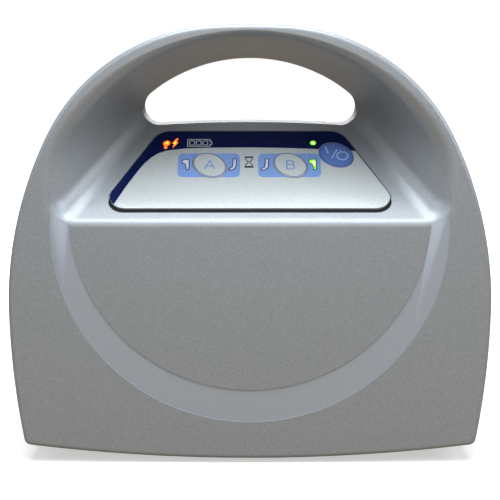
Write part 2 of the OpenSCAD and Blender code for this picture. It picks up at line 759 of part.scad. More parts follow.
// Side profile of the rear housing, drawn in by inset
module rear_profile(inset) {
  drop = inset * sqrt(1 + shelf_fall * shelf_fall);
  polygon(rounded([
    [cover_d - 2 * OVER, -OVER, EPS],
    [body_d - inset, -OVER, EPS],
    [body_d - inset, shelf_low_z - shelf_fall * inset - drop, shelf_low_r - inset],
    [handle_d - inset, shelf_top_z - shelf_fall * inset - drop, shelf_top_r + inset],
    [handle_d - inset, body_h + OVER, EPS],
    [cover_d - 2 * OVER, body_h + OVER, EPS]
  ]));
}
module rear_outer() intersection() {
  hull() {
    prism(cover_d, cover_d + EPS) outline(0);
    for (a = [0, 35, 65, 90])
      prism(body_d - back_edge_r * (1 - sin(a)) - EPS, body_d - back_edge_r * (1 - sin(a)))
        outline(back_draft + back_edge_r * (1 - cos(a)));
  }
  across(-half_w - OVER, half_w + OVER) rear_profile(0);
}
module rear_cavity() intersection() {
  prism(cover_d - OVER, body_d - wall) outline(wall + back_draft);
  across(-half_w, half_w) rear_profile(wall);
}
module rear_bosses() {
  both_sides() {
    bar_y(low_screw, head_hole_r + boss_wall, cover_d - OVER, body_d);
    bar_y(high_screw, head_hole_r + boss_wall, cover_d - OVER, body_d);
    bar_y(handle_screw, boss_r, cover_d - OVER, handle_d);
    for (f = chassis_fix) bar_y(f, chassis_boss_r, plate_y + plate_t, body_d);
  }
  prism(body_d - wall - 3.5, body_d) translate(vent) square([vent_w, vent_h], center = true);
}
module ear() across(hook_w / 2 + ear_gap, hook_w / 2 + ear_gap + ear_t) {
  translate([pin_y, pin_z]) circle(r = barrel_r + 0.6);
  translate([body_d - OVER, pin_z - barrel_r - 0.6]) square([pin_y - body_d + OVER, 2 * barrel_r + 1.2]);
}
module door_hole(grow, low, high) {
  box(
    [-door_half_w - grow, door_post_y - door_half_d - grow, low],
    [door_half_w + grow, door_post_y + door_half_d + grow, high]
  );
}

module rear_housing() color(REAR) in_place() difference() {
  union() {
    difference() {
      rear_outer();
      difference() {
        rear_cavity();
        prism(cover_d - 2 * OVER, body_d) opening(wall);
        rear_bosses();
      }
    }
    both_sides() ear();
    box([-stop_w / 2, body_d - OVER, stop_z - stop_h], [stop_w / 2, hook_y - stop_gap, stop_z]);
  }
  prism(cover_d - OVER, body_d) opening(0);
  bar_x([pin_y, pin_z], pin_r + RUN_GAP, -half_w, half_w);
  both_sides() {
    for (s = [low_screw, high_screw]) {
      bar_y(s, screw_r + RUN_GAP, cover_d - OVER, body_d);
      bar_y(s, head_hole_r, screw_seat_y - screw_head_t, body_d + OVER);
    }
    bar_y(handle_screw, screw_r + RUN_GAP, cover_d - OVER, body_d);
    bar_y(handle_screw, head_hole_r, handle_seat_y - screw_head_t, body_d);
    for (f = chassis_fix)
      bar_y(f, chassis_screw_r + RUN_GAP, plate_y + plate_t - OVER, plate_y + plate_t + chassis_hole_len);
    bar_z([foot_x, foot_back_y], foot_r + RUN_GAP, -OVER, foot_top(foot_back_y));
  }
  for (p = [port_a, port_b])
    prism(body_d - wall - OVER, body_d + OVER)
      translate(p) rounded_box(2 * (nipple_pitch + stub_r + PART_GAP), 2 * (stub_r + PART_GAP), stub_r);
  prism(body_d - wall - OVER, body_d + OVER)
    translate(inlet) square([inlet_body_w + 2 * PART_GAP, inlet_body_h + 2 * PART_GAP], center = true);
  for (s = inlet_fix) bar_y(s, chassis_screw_r + RUN_GAP, body_d - wall - OVER, body_d + OVER);
  prism(body_d - wall - 4.5, body_d + OVER) translate(vent) square([vent_w - 4, vent_h - 4], center = true);
  prism(body_d - 1.5, body_d + OVER)
    translate(vent) square([vent_w + 2 * PART_GAP, vent_h + 2 * PART_GAP], center = true);
  door_hole(PART_GAP, -OVER, battery_z + OVER);
}

module battery_door() color(REAR) in_place() difference() {
  intersection() {
    rear_outer();
    door_hole(0, -OVER, battery_z + OVER);
  }
  prism(cover_d, body_d) outline(wall + back_draft);
  both_sides() {
    bar_z([door_post_x, door_post_y], door_screw_r + RUN_GAP, -OVER, battery_z + OVER);
    bar_z([door_post_x, door_post_y], door_head_r + RUN_GAP, -OVER, door_seat_z);
  }
}

// A round-headed screw along the depth, its head at the back
module screw_y(place, seat, r, head_r, head_t, length) {
  bar_y(place, r, seat - length, seat);
  bar_y(place, head_r, seat - head_t, seat);
}
module housing_screws() color(STEEL) in_place() both_sides() {
  for (s = [low_screw, high_screw]) screw_y(s, screw_seat_y, screw_r, screw_head_r, screw_head_t, screw_len);
  screw_y(handle_screw, handle_seat_y, screw_r, screw_head_r, screw_head_t, handle_screw_len);
}
module rubber_feet() color(RUBBER) in_place() both_sides()
  for (y = [foot_front_y, foot_back_y]) bar_z([foot_x, y], foot_r, 0, foot_top(y));

// ---------------------------------------------------------------- panel

module overlay_label() color(PALE) in_place() on_slope() difference() {
  translate([0, 0, -label_t]) linear_extrude(label_t) label_shape(0);
  for (p = key_places)
    translate([p[0], p[1], -label_t - OVER]) linear_extrude(label_t + 2 * OVER) oval(key_gap);
}
module key(p) in_place() on_slope() translate([p[0], p[1], 0]) {
  translate([0, 0, flange_top - EPS]) linear_extrude(key_proud - flange_top + EPS) oval(0);
  translate([0, 0, flange_top - flange_t]) linear_extrude(flange_t) oval(key_flange);
  translate([0, 0, stem_end]) cylinder(r = stem_r, h = flange_top - stem_end);
}
module key_a() color(PALE) key(key_places[0]);
module key_b() color(PALE) key(key_places[1]);
module key_power() color(KEY_BLUE) key(key_places[2]);
module light_guides() color(PALE) in_place() on_slope() for (w = windows)
  translate([w[0] - w[2] / 2, w[1] - w[3] / 2, key_board_top + guide_gap])
    cube([w[2], w[3], -label_t - key_board_top - guide_gap]);
module key_board() color(BOARD) in_place() on_slope() difference() {
  union() {
    translate([-key_board_w / 2, key_board_low, key_board_top - board_t])
      cube([key_board_w, key_board_high - key_board_low, board_t]);
    for (p = key_places) translate([p[0] - switch_w / 2, p[1] - switch_w / 2, key_board_top - EPS])
      cube([switch_w, switch_w, switch_h + EPS]);
    for (w = windows) translate([w[0] - lamp[0] / 2, w[1] - lamp[1] / 2, key_board_top - EPS]) cube(lamp);
  }
  key_post_places() translate([0, 0, key_board_top - board_t - OVER])
    cylinder(r = small_screw_r + RUN_GAP, h = board_t + 2 * OVER);
}
module key_board_screws() color(STEEL) in_place() on_slope() key_post_places() {
  translate([0, 0, key_board_top - board_t]) cylinder(r = small_screw_r, h = board_t + small_screw_len - 4);
  translate([0, 0, key_board_top - board_t - small_head_t]) cylinder(r = small_head_r, h = small_head_t);
}

// ---------------------------------------------------------------- bed hook

module bed_hook() color(REAR) in_place() difference() {
  union() {
    across(-hook_w / 2, hook_w / 2) {
      translate([pin_y, pin_z]) circle(r = barrel_r);
      polygon(rounded([
        [hook_y, hook_low_z, EPS],
        [hook_y + hook_t, hook_low_z, EPS],
        [hook_y + hook_t, pin_z + barrel_r, hook_t - 1],
        [pin_y, pin_z + barrel_r, EPS],
        [pin_y, pin_z, EPS],
        [hook_y, pin_z - barrel_r, EPS]
      ]));
      translate([hook_y + hook_t / 2 + hook_lip / 2, hook_low_z])
        square([hook_t + hook_lip, hook_t], center = true);
    }
  }
  bar_x([pin_y, pin_z], pin_r + RUN_GAP, -half_w, half_w);
  both_sides() bar_x([pin_y, pin_z], spring_pocket_r, hook_w / 2 - spring_pocket, hook_w / 2 + OVER);
}
module hook_pin() color(STEEL) in_place()
  bar_x([pin_y, pin_z], pin_r, -hook_w / 2 - ear_gap - ear_t, hook_w / 2 + ear_gap + ear_t);
// Return springs: one unbroken coil each, in the pockets at the ends of the barrel
function spring_route() = [
  for (i = [0:8 * spring_turns])
    let (a = i * 45)
      [hook_w / 2 - spring_pocket + 0.5 + spring_wire_r + spring_pitch * i / 8,
        pin_y + spring_r * cos(a), pin_z + spring_r * sin(a)]
];
module hook_springs() color(STEEL) in_place() both_sides() swept(spring_route(), spring_wire_r, 6);
module hook_pads() color(RUBBER) in_place() both_sides()
  box(
    [hook_w / 2 - pad_inset - pad_w, hook_y - pad_t, hook_low_z + pad_rise],
    [hook_w / 2 - pad_inset, hook_y, hook_low_z + pad_rise + pad_h]
  );

// ---------------------------------------------------------------- connections

module tubing_port(p) in_place() difference() {
  union() {
    prism(body_d, body_d + flange_out) translate(p) rounded_box(port_w, port_h, 3);
    for (l = port_lumens(p)) {
      bar_y(l, nipple_r, body_d, body_d + flange_out + nipple_len);
      bar_y(l, stub_r, block_y + stub_sink, body_d + EPS);
    }
  }
  for (l = port_lumens(p)) bar_y(l, lumen_r, block_y, body_d + flange_out + nipple_len + OVER);
}
module tubing_port_a() color(REAR) tubing_port(port_a);
module tubing_port_b() color(REAR) tubing_port(port_b);
module port_block() color(CREAM) in_place() difference() {
  union() {
    box(
      [port_a[0] - block_w / 2, block_y, block_low_z],
      [port_a[0] + block_w / 2, block_y + block_d, block_high_z]
    );
    for (h = hose_places) bar_y(h, hose_nipple_r, block_y - hose_nipple_len, block_y + EPS);
  }
  for (p = [port_a, port_b], l = port_lumens(p))
    bar_y(l, stub_r + RUN_GAP, block_y + stub_sink - RUN_GAP, block_y + block_d + OVER);
  for (h = hose_places) bar_y(h, air_hole_r, block_y - hose_nipple_len - OVER, block_y + 2);
}
module port_hoses() color(CREAM) in_place() for (h = hose_places) difference() {
  bar_y(h, hose_r, manifold_y[1] + hose_end_gap, block_y - hose_end_gap);
  bar_y(h, hose_bore_r, manifold_y[1] - OVER, block_y + OVER);
}
module power_inlet() color(RUBBER) in_place() difference() {
  union() {
    prism(body_d, body_d + flange_out) translate(inlet) rounded_box(inlet_w, inlet_h, 3);
    prism(body_d - inlet_body_d, body_d + EPS)
      translate(inlet) square([inlet_body_w, inlet_body_h], center = true);
    for (k = [-1, 0, 1])
      prism(lead_back_y, body_d - inlet_body_d + EPS)
        translate(inlet + [k * inlet_pitch, 0]) square(inlet_tab, center = true);
  }
  difference() {
    prism(inlet_floor_y, body_d + flange_out + OVER)
      translate(inlet) rounded_box(inlet_mouth[0], inlet_mouth[1], 3);
    for (b = blade_places)
      translate([inlet[0] + b[0] - blade[2] / 2, inlet_floor_y - OVER, inlet[1] + b[1] - blade[0] / 2])
        cube([blade[2], blade[1] + OVER, blade[0]]);
  }
  for (s = inlet_fix) bar_y(s, chassis_screw_r + RUN_GAP, body_d - OVER, body_d + flange_out + OVER);
}
module inlet_screws() color(STEEL) in_place() for (s = inlet_fix) {
  bar_y(s, chassis_screw_r, body_d - wall - 4, body_d + flange_out);
  bar_y(s, washer_r, body_d + flange_out, body_d + flange_out + pan_head_t);
}
module intake_cover() color(REAR) in_place() difference() {
  prism(body_d - 1.5, body_d + 1) translate(vent) rounded_box(vent_w, vent_h, 2);
  for (i = [0:vent_slots - 1])
    prism(body_d - 2 * OVER, body_d + 2 * OVER)
      translate(vent + [0, (i - (vent_slots - 1) / 2) * (vent_h - 5) / vent_slots])
        rounded_box(vent_w - 8, 1.8, 0.85);
}
module intake_filter() color(RUBBER) in_place() prism(body_d - wall - 3, body_d - 1.6)
  translate(vent) square([vent_w - 4.6, vent_h - 4.6], center = true);

// ---------------------------------------------------------------- battery and chassis

module door_screws() color(STEEL) in_place() both_sides() {
  bar_z([door_post_x, door_post_y], door_screw_r, door_seat_z - door_head_t, door_post_z + 7);
  bar_z([door_post_x, door_post_y], door_head_r, door_seat_z - door_head_t, door_seat_z);
}
module battery_pack() color(KEY_BLUE) in_place()
  box([-battery_w / 2, battery_y, battery_z], [battery_w / 2, battery_y + battery_d, battery_z + battery_h]);
module battery_lead() color(RUBBER) in_place() for (k = [-1, 1])
  translate([k * battery_wire_x, 0, 0]) swept(finer(battery_route, 2), wire_r, 8);

module chassis() color(STEEL) in_place() difference() {
  union() {
    box([-shelf_half_w, plate_y, plate_low_z], [shelf_half_w, plate_y + plate_t, plate_high_z]);
    box([-plate_half_w, plate_y, hose_z + 11], [-shelf_half_w + EPS, plate_y + plate_t, plate_high_z]);
    box([shelf_half_w - EPS, plate_y, power_board_z[0] - 2], [plate_half_w, plate_y + plate_t, plate_high_z]);
    both_sides() box(
      [plate_half_w - EPS, plate_y, chassis_fix[1][1] - 6],
      [chassis_fix[1][0] + 4, plate_y + plate_t, chassis_fix[1][1] + 6]
    );
    box([-shelf_half_w, plate_y, bay_top], [shelf_half_w, shelf_back_y, bay_top + plate_t]);
    for (h = board_holes) bar_y(h, standoff_r, plate_y - standoff, plate_y + EPS);
    for (s = spacers) bar_y(s, spacer_r, manifold_y[1], plate_y + EPS);
    both_sides() bar_z([door_post_x, door_post_y], door_post_r, door_post_z, bay_top + EPS);
  }
  for (h = board_holes) bar_y(h, small_screw_r + RUN_GAP, plate_y - standoff - OVER, plate_y + 4);
  for (s = spacers) bar_y(s, manifold_screw_r + RUN_GAP, manifold_y[1] - OVER, plate_y + 4);
  both_sides() {
    bar_z([door_post_x, door_post_y], door_screw_r + RUN_GAP, door_post_z - OVER, door_post_z + 8);
    for (f = chassis_fix) bar_y(f, chassis_screw_r + RUN_GAP, plate_y - OVER, plate_y + plate_t + OVER);
  }
  bar_y([battery_lead_x, lead_hole_z], lead_hole_r, plate_y - OVER, plate_y + plate_t + OVER);
}
module chassis_screws() color(STEEL) in_place() both_sides() for (f = chassis_fix) {
  bar_y(f, chassis_screw_r, plate_y - EPS, plate_y + plate_t + chassis_screw_len);
  bar_y(f, washer_r, plate_y - 2, plate_y);
}

// ---------------------------------------------------------------- compressor

module compressor_casing() color(STEEL) in_place() difference() {
  box(
    [-casing_half, casing_y - casing_d / 2, casing_z - casing_h / 2],
    [casing_half, casing_y + casing_d / 2, casing_z + casing_h / 2]
  );
  bar_x([casing_y, casing_z], casing_bore_r, -casing_half - OVER, casing_half + OVER);
}
module drive_coil() color(COPPER) in_place() difference() {
  bar_x([casing_y, casing_z], casing_bore_r - RUN_GAP, -coil_half, coil_half);
  bar_x([casing_y, casing_z], magnet_r + coil_clear, -coil_half - OVER, coil_half + OVER);
}
module armature() color(STEEL) in_place() {
  bar_x([casing_y, casing_z], shaft_r, -shaft_half, shaft_half);
  bar_x([casing_y, casing_z], magnet_r, -magnet_half, magnet_half);
  both_sides() bar_x([casing_y, casing_z], piston_r, piston_x, piston_x + piston_t);
}
module diaphragms() color(RUBBER) in_place() both_sides() difference() {
  bar_x([casing_y, casing_z], head_r - 1, casing_half, casing_half + diaphragm_t);
  bar_x([casing_y, casing_z], shaft_r + 0.4, casing_half - OVER, casing_half + diaphragm_t + OVER);
}
module pump_head(end_nipple) in_place() difference() {
  union() {
    bar_x([casing_y, casing_z], head_r, head_x, head_end);
    bar_z([bridge_x, casing_y], hose_nipple_r, casing_z + head_r - 2, casing_z + head_r + head_nipple_len);
    if (end_nipple) bar_x([casing_y, casing_z], hose_nipple_r, head_end - EPS, head_end + hose_nipple_len);
  }
  bar_x([casing_y, casing_z], chamber_r, head_x - OVER, chamber_end);
  bar_z(
    [bridge_x, casing_y], air_hole_r,
    casing_z + chamber_r - air_hole_sink, casing_z + head_r + head_nipple_len + 1
  );
  if (end_nipple) bar_x(
    [casing_y, casing_z], air_hole_r, chamber_end - OVER, head_end + hose_nipple_len + OVER
  );
}
module pump_head_left() color(CREAM) mirror([1, 0, 0]) pump_head(false);
module pump_head_right() color(CREAM) pump_head(true);
module isolators() color(RUBBER) in_place() both_sides() for (sy = [-1, 1])
  bar_z(
    [casing_half - isolator_edge, casing_y + sy * (casing_d / 2 - isolator_edge)],
    isolator_r, bay_top + plate_t, bay_top + plate_t + isolator_h
  );

module hose(route) swept_tube(finer(route, 2), hose_r, hose_bore_r, 12);
module bridge_hose() color(CREAM) in_place() hose(bridge_route);
module pump_hose() color(CREAM) in_place() hose(pump_route);
module silencer() color(RUBBER) in_place() difference() {
  union() {
    bar_z(silencer_c, silencer_r, silencer_z[0], silencer_z[1]);
    bar_z(silencer_c, hose_nipple_r, silencer_z[1] - EPS, silencer_z[1] + hose_nipple_len);
    bar_x([valve_y, hose_z], hose_nipple_r, silencer_c[0] - silencer_r - hose_nipple_len, silencer_c[0]);
  }
  bar_z(silencer_c, silencer_r - 1.5, silencer_z[0] + 1.5, silencer_z[1] - 1.5);
  bar_z(silencer_c, air_hole_r, silencer_z[1] - 2, silencer_z[1] + hose_nipple_len + OVER);
  bar_x(
    [valve_y, hose_z], air_hole_r, silencer_c[0] - silencer_r - hose_nipple_len - OVER, silencer_c[0] - 4
  );
}
module manifold_hose() color(CREAM) in_place() difference() {
  bar_x([valve_y, hose_z], hose_r, manifold_x[1] + hose_end_gap, silencer_c[0] - silencer_r - hose_end_gap);
  bar_x([valve_y, hose_z], hose_bore_r, manifold_x[1], silencer_c[0]);
}

// ---------------------------------------------------------------- valves

module valve_manifold() color(CREAM) in_place() difference() {
  union() {
    box([manifold_x[0], manifold_y[0], manifold_z[0]], [manifold_x[1], manifold_y[1], manifold_z[1]]);
    bar_x([valve_y, hose_z], hose_nipple_r, manifold_x[1] - EPS, manifold_x[1] + hose_nipple_len);
    for (h = hose_places) bar_y(h, hose_nipple_r, manifold_y[1] - EPS, manifold_y[1] + hose_nipple_len);
  }
  bar_x([valve_y, hose_z], 1.5, manifold_x[0] + 6, manifold_x[1] + hose_nipple_len + OVER);
  for (h = hose_places) bar_y(h, air_hole_r, valve_y, manifold_y[1] + hose_nipple_len + OVER);
  for (i = [0:valve_count - 1]) bar_z([valve_x(i), valve_y], air_hole_r, hose_z, manifold_z[1] + OVER);
  for (s = spacers) bar_y(s, manifold_screw_r + RUN_GAP, manifold_y[0] - OVER, manifold_y[1] + OVER);
}
function valve_x(i) = valve_x0 + i * valve_pitch;
module valve_coil(i) color(RUBBER) in_place() difference() {
  bar_z([valve_x(i), valve_y], coil_r, manifold_z[1], manifold_z[1] + coil_h);
  bar_z(
    [valve_x(i), valve_y], plunger_r + SLIDE_GAP, manifold_z[1] - OVER, manifold_z[1] + coil_h - coil_wall
  );
}
module valve_plunger(i) color(STEEL) in_place()
  bar_z([valve_x(i), valve_y], plunger_r, manifold_z[1], manifold_z[1] + plunger_len);
module manifold_screws() color(STEEL) in_place() for (s = spacers) {
  bar_y(s, manifold_screw_r, manifold_y[0], plate_y + 3);
  bar_y(s, washer_r + 0.2, manifold_y[0] - 2, manifold_y[0]);
}
module pressure_sensor() color(RUBBER) in_place() box(
  [manifold_x[1] - 1 - sensor[0], valve_y - sensor[1] / 2, manifold_z[1]],
  [manifold_x[1] - 1, valve_y + sensor[1] / 2, manifold_z[1] + sensor[2]]
);

// ---------------------------------------------------------------- boards and leads

module circuit_board(xs, zs, holes) difference() {
  union() {
    box([xs[0], board_y, zs[0]], [xs[1], board_y + board_t, zs[1]]);
    children();
  }
  for (h = holes) bar_y(h, small_screw_r + RUN_GAP, board_y - OVER, board_y + board_t + OVER);
}
module chip(x, z, w, h, t) box([x - w / 2, board_y - t, z - h / 2], [x + w / 2, board_y + EPS, z + h / 2]);
module control_board() color(BOARD) in_place() circuit_board(control_x, control_z, control_holes) {
  for (c = control_chips) chip(c[0], control_z[1] - c[1], c[2], c[3], c[4]);
  box(
    [battery_lead_x - lead_plug[0] / 2, board_y + board_t - EPS, control_z[0]],
    [battery_lead_x + lead_plug[0] / 2, board_y + board_t + lead_plug[1], control_z[0] + lead_plug[2]]
  );
}
module power_board() color(BOARD) in_place() circuit_board(power_board_x, power_board_z, power_holes)
  chip(mains_route[0][0], power_board_z[0] + mains_plug[1] / 2, mains_plug[0], mains_plug[1], mains_plug[2]);
module transformer() color(COPPER) in_place() box(
  [transformer_x - transformer_w / 2, board_y - transformer_d, transformer_z],
  [transformer_x + transformer_w / 2, board_y, transformer_z + transformer_h]
);
module board_screws() color(STEEL) in_place() for (h = board_holes) {
  bar_y(h, small_screw_r, board_y, board_y + small_screw_len);
  bar_y(h, small_head_r, board_y - small_head_t, board_y);
}
module alarm_buzzer() color(RUBBER) in_place() bar_y(buzzer, buzzer_r, board_y - buzzer_t, board_y);
module ribbon_cable() color(CREAM) in_place() across(ribbon_x - ribbon_w / 2, ribbon_x + ribbon_w / 2) {
  under = key_board_top - board_t;
  low = [board_y - 2, control_z[1] - 3.5];
  high = [
    key_board_low * cos(slope) - under * sin(slope) + ribbon_fold,
    crest_z + key_board_low * sin(slope) + under * cos(slope) + ribbon_fold * tan(slope) - 0.4
  ];
  polygon([
    low, low + [0, 4], high - [0, 4], high,
    high + [ribbon_t, 0], high + [ribbon_t, -4], low + [ribbon_t, 4.5], low + [ribbon_t, 0]
  ]);
}
module mains_lead() color(RUBBER) in_place() for (k = [-1, 0, 1])
  translate([k * wire_pitch, 0, 0]) swept(finer(mains_route, 1), wire_r, 8);

front_cover();
rear_housing();
housing_screws();
rubber_feet();
overlay_label();
key_a();
key_b();
key_power();
light_guides();
key_board();
key_board_screws();
bed_hook();
hook_pin();
hook_springs();
hook_pads();
tubing_port_a();
tubing_port_b();
port_block();
port_hoses();
power_inlet();
inlet_screws();
intake_cover();
intake_filter();
battery_door();
door_screws();
battery_pack();
battery_lead();
chassis();
chassis_screws();
compressor_casing();
drive_coil();
armature();
diaphragms();
pump_head_left();
pump_head_right();
isolators();
bridge_hose();
pump_hose();
silencer();
manifold_hose();
valve_manifold();
manifold_screws();
pressure_sensor();
valve_coil(0);  // valve_coil_1
valve_coil(1);  // valve_coil_2
valve_coil(2);  // valve_coil_3
valve_coil(3);  // valve_coil_4
valve_coil(4);  // valve_coil_5
valve_plunger(0);  // valve_plunger_1
valve_plunger(1);  // valve_plunger_2
valve_plunger(2);  // valve_plunger_3
valve_plunger(3);  // valve_plunger_4
valve_plunger(4);  // valve_plunger_5
control_board();
power_board();
transformer();
board_screws();
alarm_buzzer();
ribbon_cable();
mains_lead();
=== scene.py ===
"""A bedside compression therapy pump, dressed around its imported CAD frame.

Lengths are in millimetres while shapes are worked out, and turn into metres when a mesh is made.
x runs to the right, y to the back and z up; "depth" is measured from the front face towards the back.
"""
from math import acos, asin, atan, atan2, cos, degrees, hypot, pi, radians, sin, sqrt, tan

import bmesh
import bpy
from bpy.props import FloatProperty, FloatVectorProperty, PointerProperty
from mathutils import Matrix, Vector


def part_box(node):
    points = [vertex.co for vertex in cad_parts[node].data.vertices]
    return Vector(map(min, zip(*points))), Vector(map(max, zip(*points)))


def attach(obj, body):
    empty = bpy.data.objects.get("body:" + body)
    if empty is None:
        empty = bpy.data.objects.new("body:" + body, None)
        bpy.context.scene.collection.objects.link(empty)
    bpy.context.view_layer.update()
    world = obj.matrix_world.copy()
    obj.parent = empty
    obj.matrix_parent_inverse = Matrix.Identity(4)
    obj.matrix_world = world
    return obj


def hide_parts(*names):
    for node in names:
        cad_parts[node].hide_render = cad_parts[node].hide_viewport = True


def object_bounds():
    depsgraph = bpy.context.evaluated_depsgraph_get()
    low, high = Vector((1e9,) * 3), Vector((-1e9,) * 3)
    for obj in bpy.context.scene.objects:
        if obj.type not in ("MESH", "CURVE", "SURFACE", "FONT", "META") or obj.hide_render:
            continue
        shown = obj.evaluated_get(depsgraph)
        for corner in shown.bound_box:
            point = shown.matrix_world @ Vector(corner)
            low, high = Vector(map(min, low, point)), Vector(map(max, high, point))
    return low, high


bl_info = {
    "name": "Compression therapy pump",
    "version": (1, 0, 0),
    "blender": (4, 5, 0),
    "location": "3D View > Sidebar > Therapy Pump",
    "description": "Builds the looks of a bedside compression therapy pump around its frame",
    "category": "Object",
}

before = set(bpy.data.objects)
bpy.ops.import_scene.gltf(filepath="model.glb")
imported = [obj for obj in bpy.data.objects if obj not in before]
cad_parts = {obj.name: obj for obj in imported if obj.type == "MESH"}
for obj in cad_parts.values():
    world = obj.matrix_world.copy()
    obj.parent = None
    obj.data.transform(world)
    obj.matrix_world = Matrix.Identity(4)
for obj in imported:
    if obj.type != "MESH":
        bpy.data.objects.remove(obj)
cad_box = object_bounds()
MM = 0.001
FRONT = cad_box[0][1] / MM          # the front face, on y
TOP = cad_box[1][2] / MM            # the top of the handle
WIDTH = (cad_box[1][0] - cad_box[0][0]) / MM
PUMP = "pump"                       # the body that everything fixed rides on


def from_srgb(red, green, blue):
    """A colour as it is seen on a screen, 0 to 255, turned into the linear one that a shader takes."""
    def linear(level):
        level = level / 255
        return level / 12.92 if level <= 0.04045 else ((level + 0.055) / 1.055) ** 2.4
    return linear(red), linear(green), linear(blue)


# ------------------------------------------------------------------ sizes and colours

def length(name, description, default):
    return FloatProperty(name=name, description=description, default=default, min=0.0, unit="NONE")


def colour(name, description, srgb):
    return FloatVectorProperty(
        name=name, description=description, default=from_srgb(*srgb), size=3, subtype="COLOR", min=0.0, max=1.0
    )


class PumpSizes(bpy.types.PropertyGroup):
    """Sizes of the housing, in millimetres."""
    cover_depth: length("Cover depth", "Depth of the front cover, face to joint", 45.0)
    body_depth: length("Body depth", "Depth of the housing, face to back", 96.0)
    handle_depth: length("Handle depth", "Depth of the handle bar, face to back", 62.0)
    base_gap: length("Base gap", "Height of the lowest point of the housing", 2.0)
    front_edge: length("Front edge", "Rounding of the edge round the front face", 1.7)
    back_edge: length("Back edge", "Rounding of the edge round the back", 8.0)
    back_draft: length("Back draft", "How far the sides draw in towards the back", 1.5)
    crest_height: length("Crest height", "Height at which the scoop floor meets the front face", 101.7)
    floor_top: length("Floor top", "Height at which the scoop floor meets the hand opening", 138.377)
    band_depth: length("Band depth", "Depth of the band below the front face", 0.35)
    skin: length("Skin", "Thickness of the moulded walls", 1.2)


class PumpColours(bpy.types.PropertyGroup):
    """Colours of the pump's finishes."""
    silver: colour("Silver", "Front cover", (151, 157, 164))
    band: colour("Band", "Smooth band on the front face", (167, 176, 189))
    rear_grey: colour("Rear grey", "Rear housing, hook and doors", (128, 131, 134))
    label_white: colour("Label white", "Ground of the control label", (177, 184, 187))
    navy: colour("Navy", "Header of the control label", (8, 20, 68))
    pale_blue: colour("Pale blue", "Fields behind the leg keys", (114, 147, 208))
    key_blue: colour("Key blue", "Power key", (84, 116, 182))
    print_blue: colour("Print blue", "Letters on the keys", (96, 134, 200))
    print_dark: colour("Print dark", "Outlines of the symbols", (38, 44, 70))


# ------------------------------------------------------------------ outlines

def on_arc(centre, radius, angle, depth=0.0):
    return Vector((centre[0] + radius * cos(radians(angle)), depth, centre[1] + radius * sin(radians(angle))))


def bearing(a, b):
    return degrees(atan2(b[1] - a[1], b[0] - a[0]))


def meeting(c0, r0, c1, r1):
    """Where two circles meet, on the right of the way from the first centre to the second."""
    away = hypot(c1[0] - c0[0], c1[1] - c0[1])
    along = (away * away + r0 * r0 - r1 * r1) / (2 * away)
    aside = sqrt(r0 * r0 - along * along)
    ux, uz = (c1[0] - c0[0]) / away, (c1[1] - c0[1]) / away
    return c0[0] + along * ux + aside * uz, c0[1] + along * uz - aside * ux


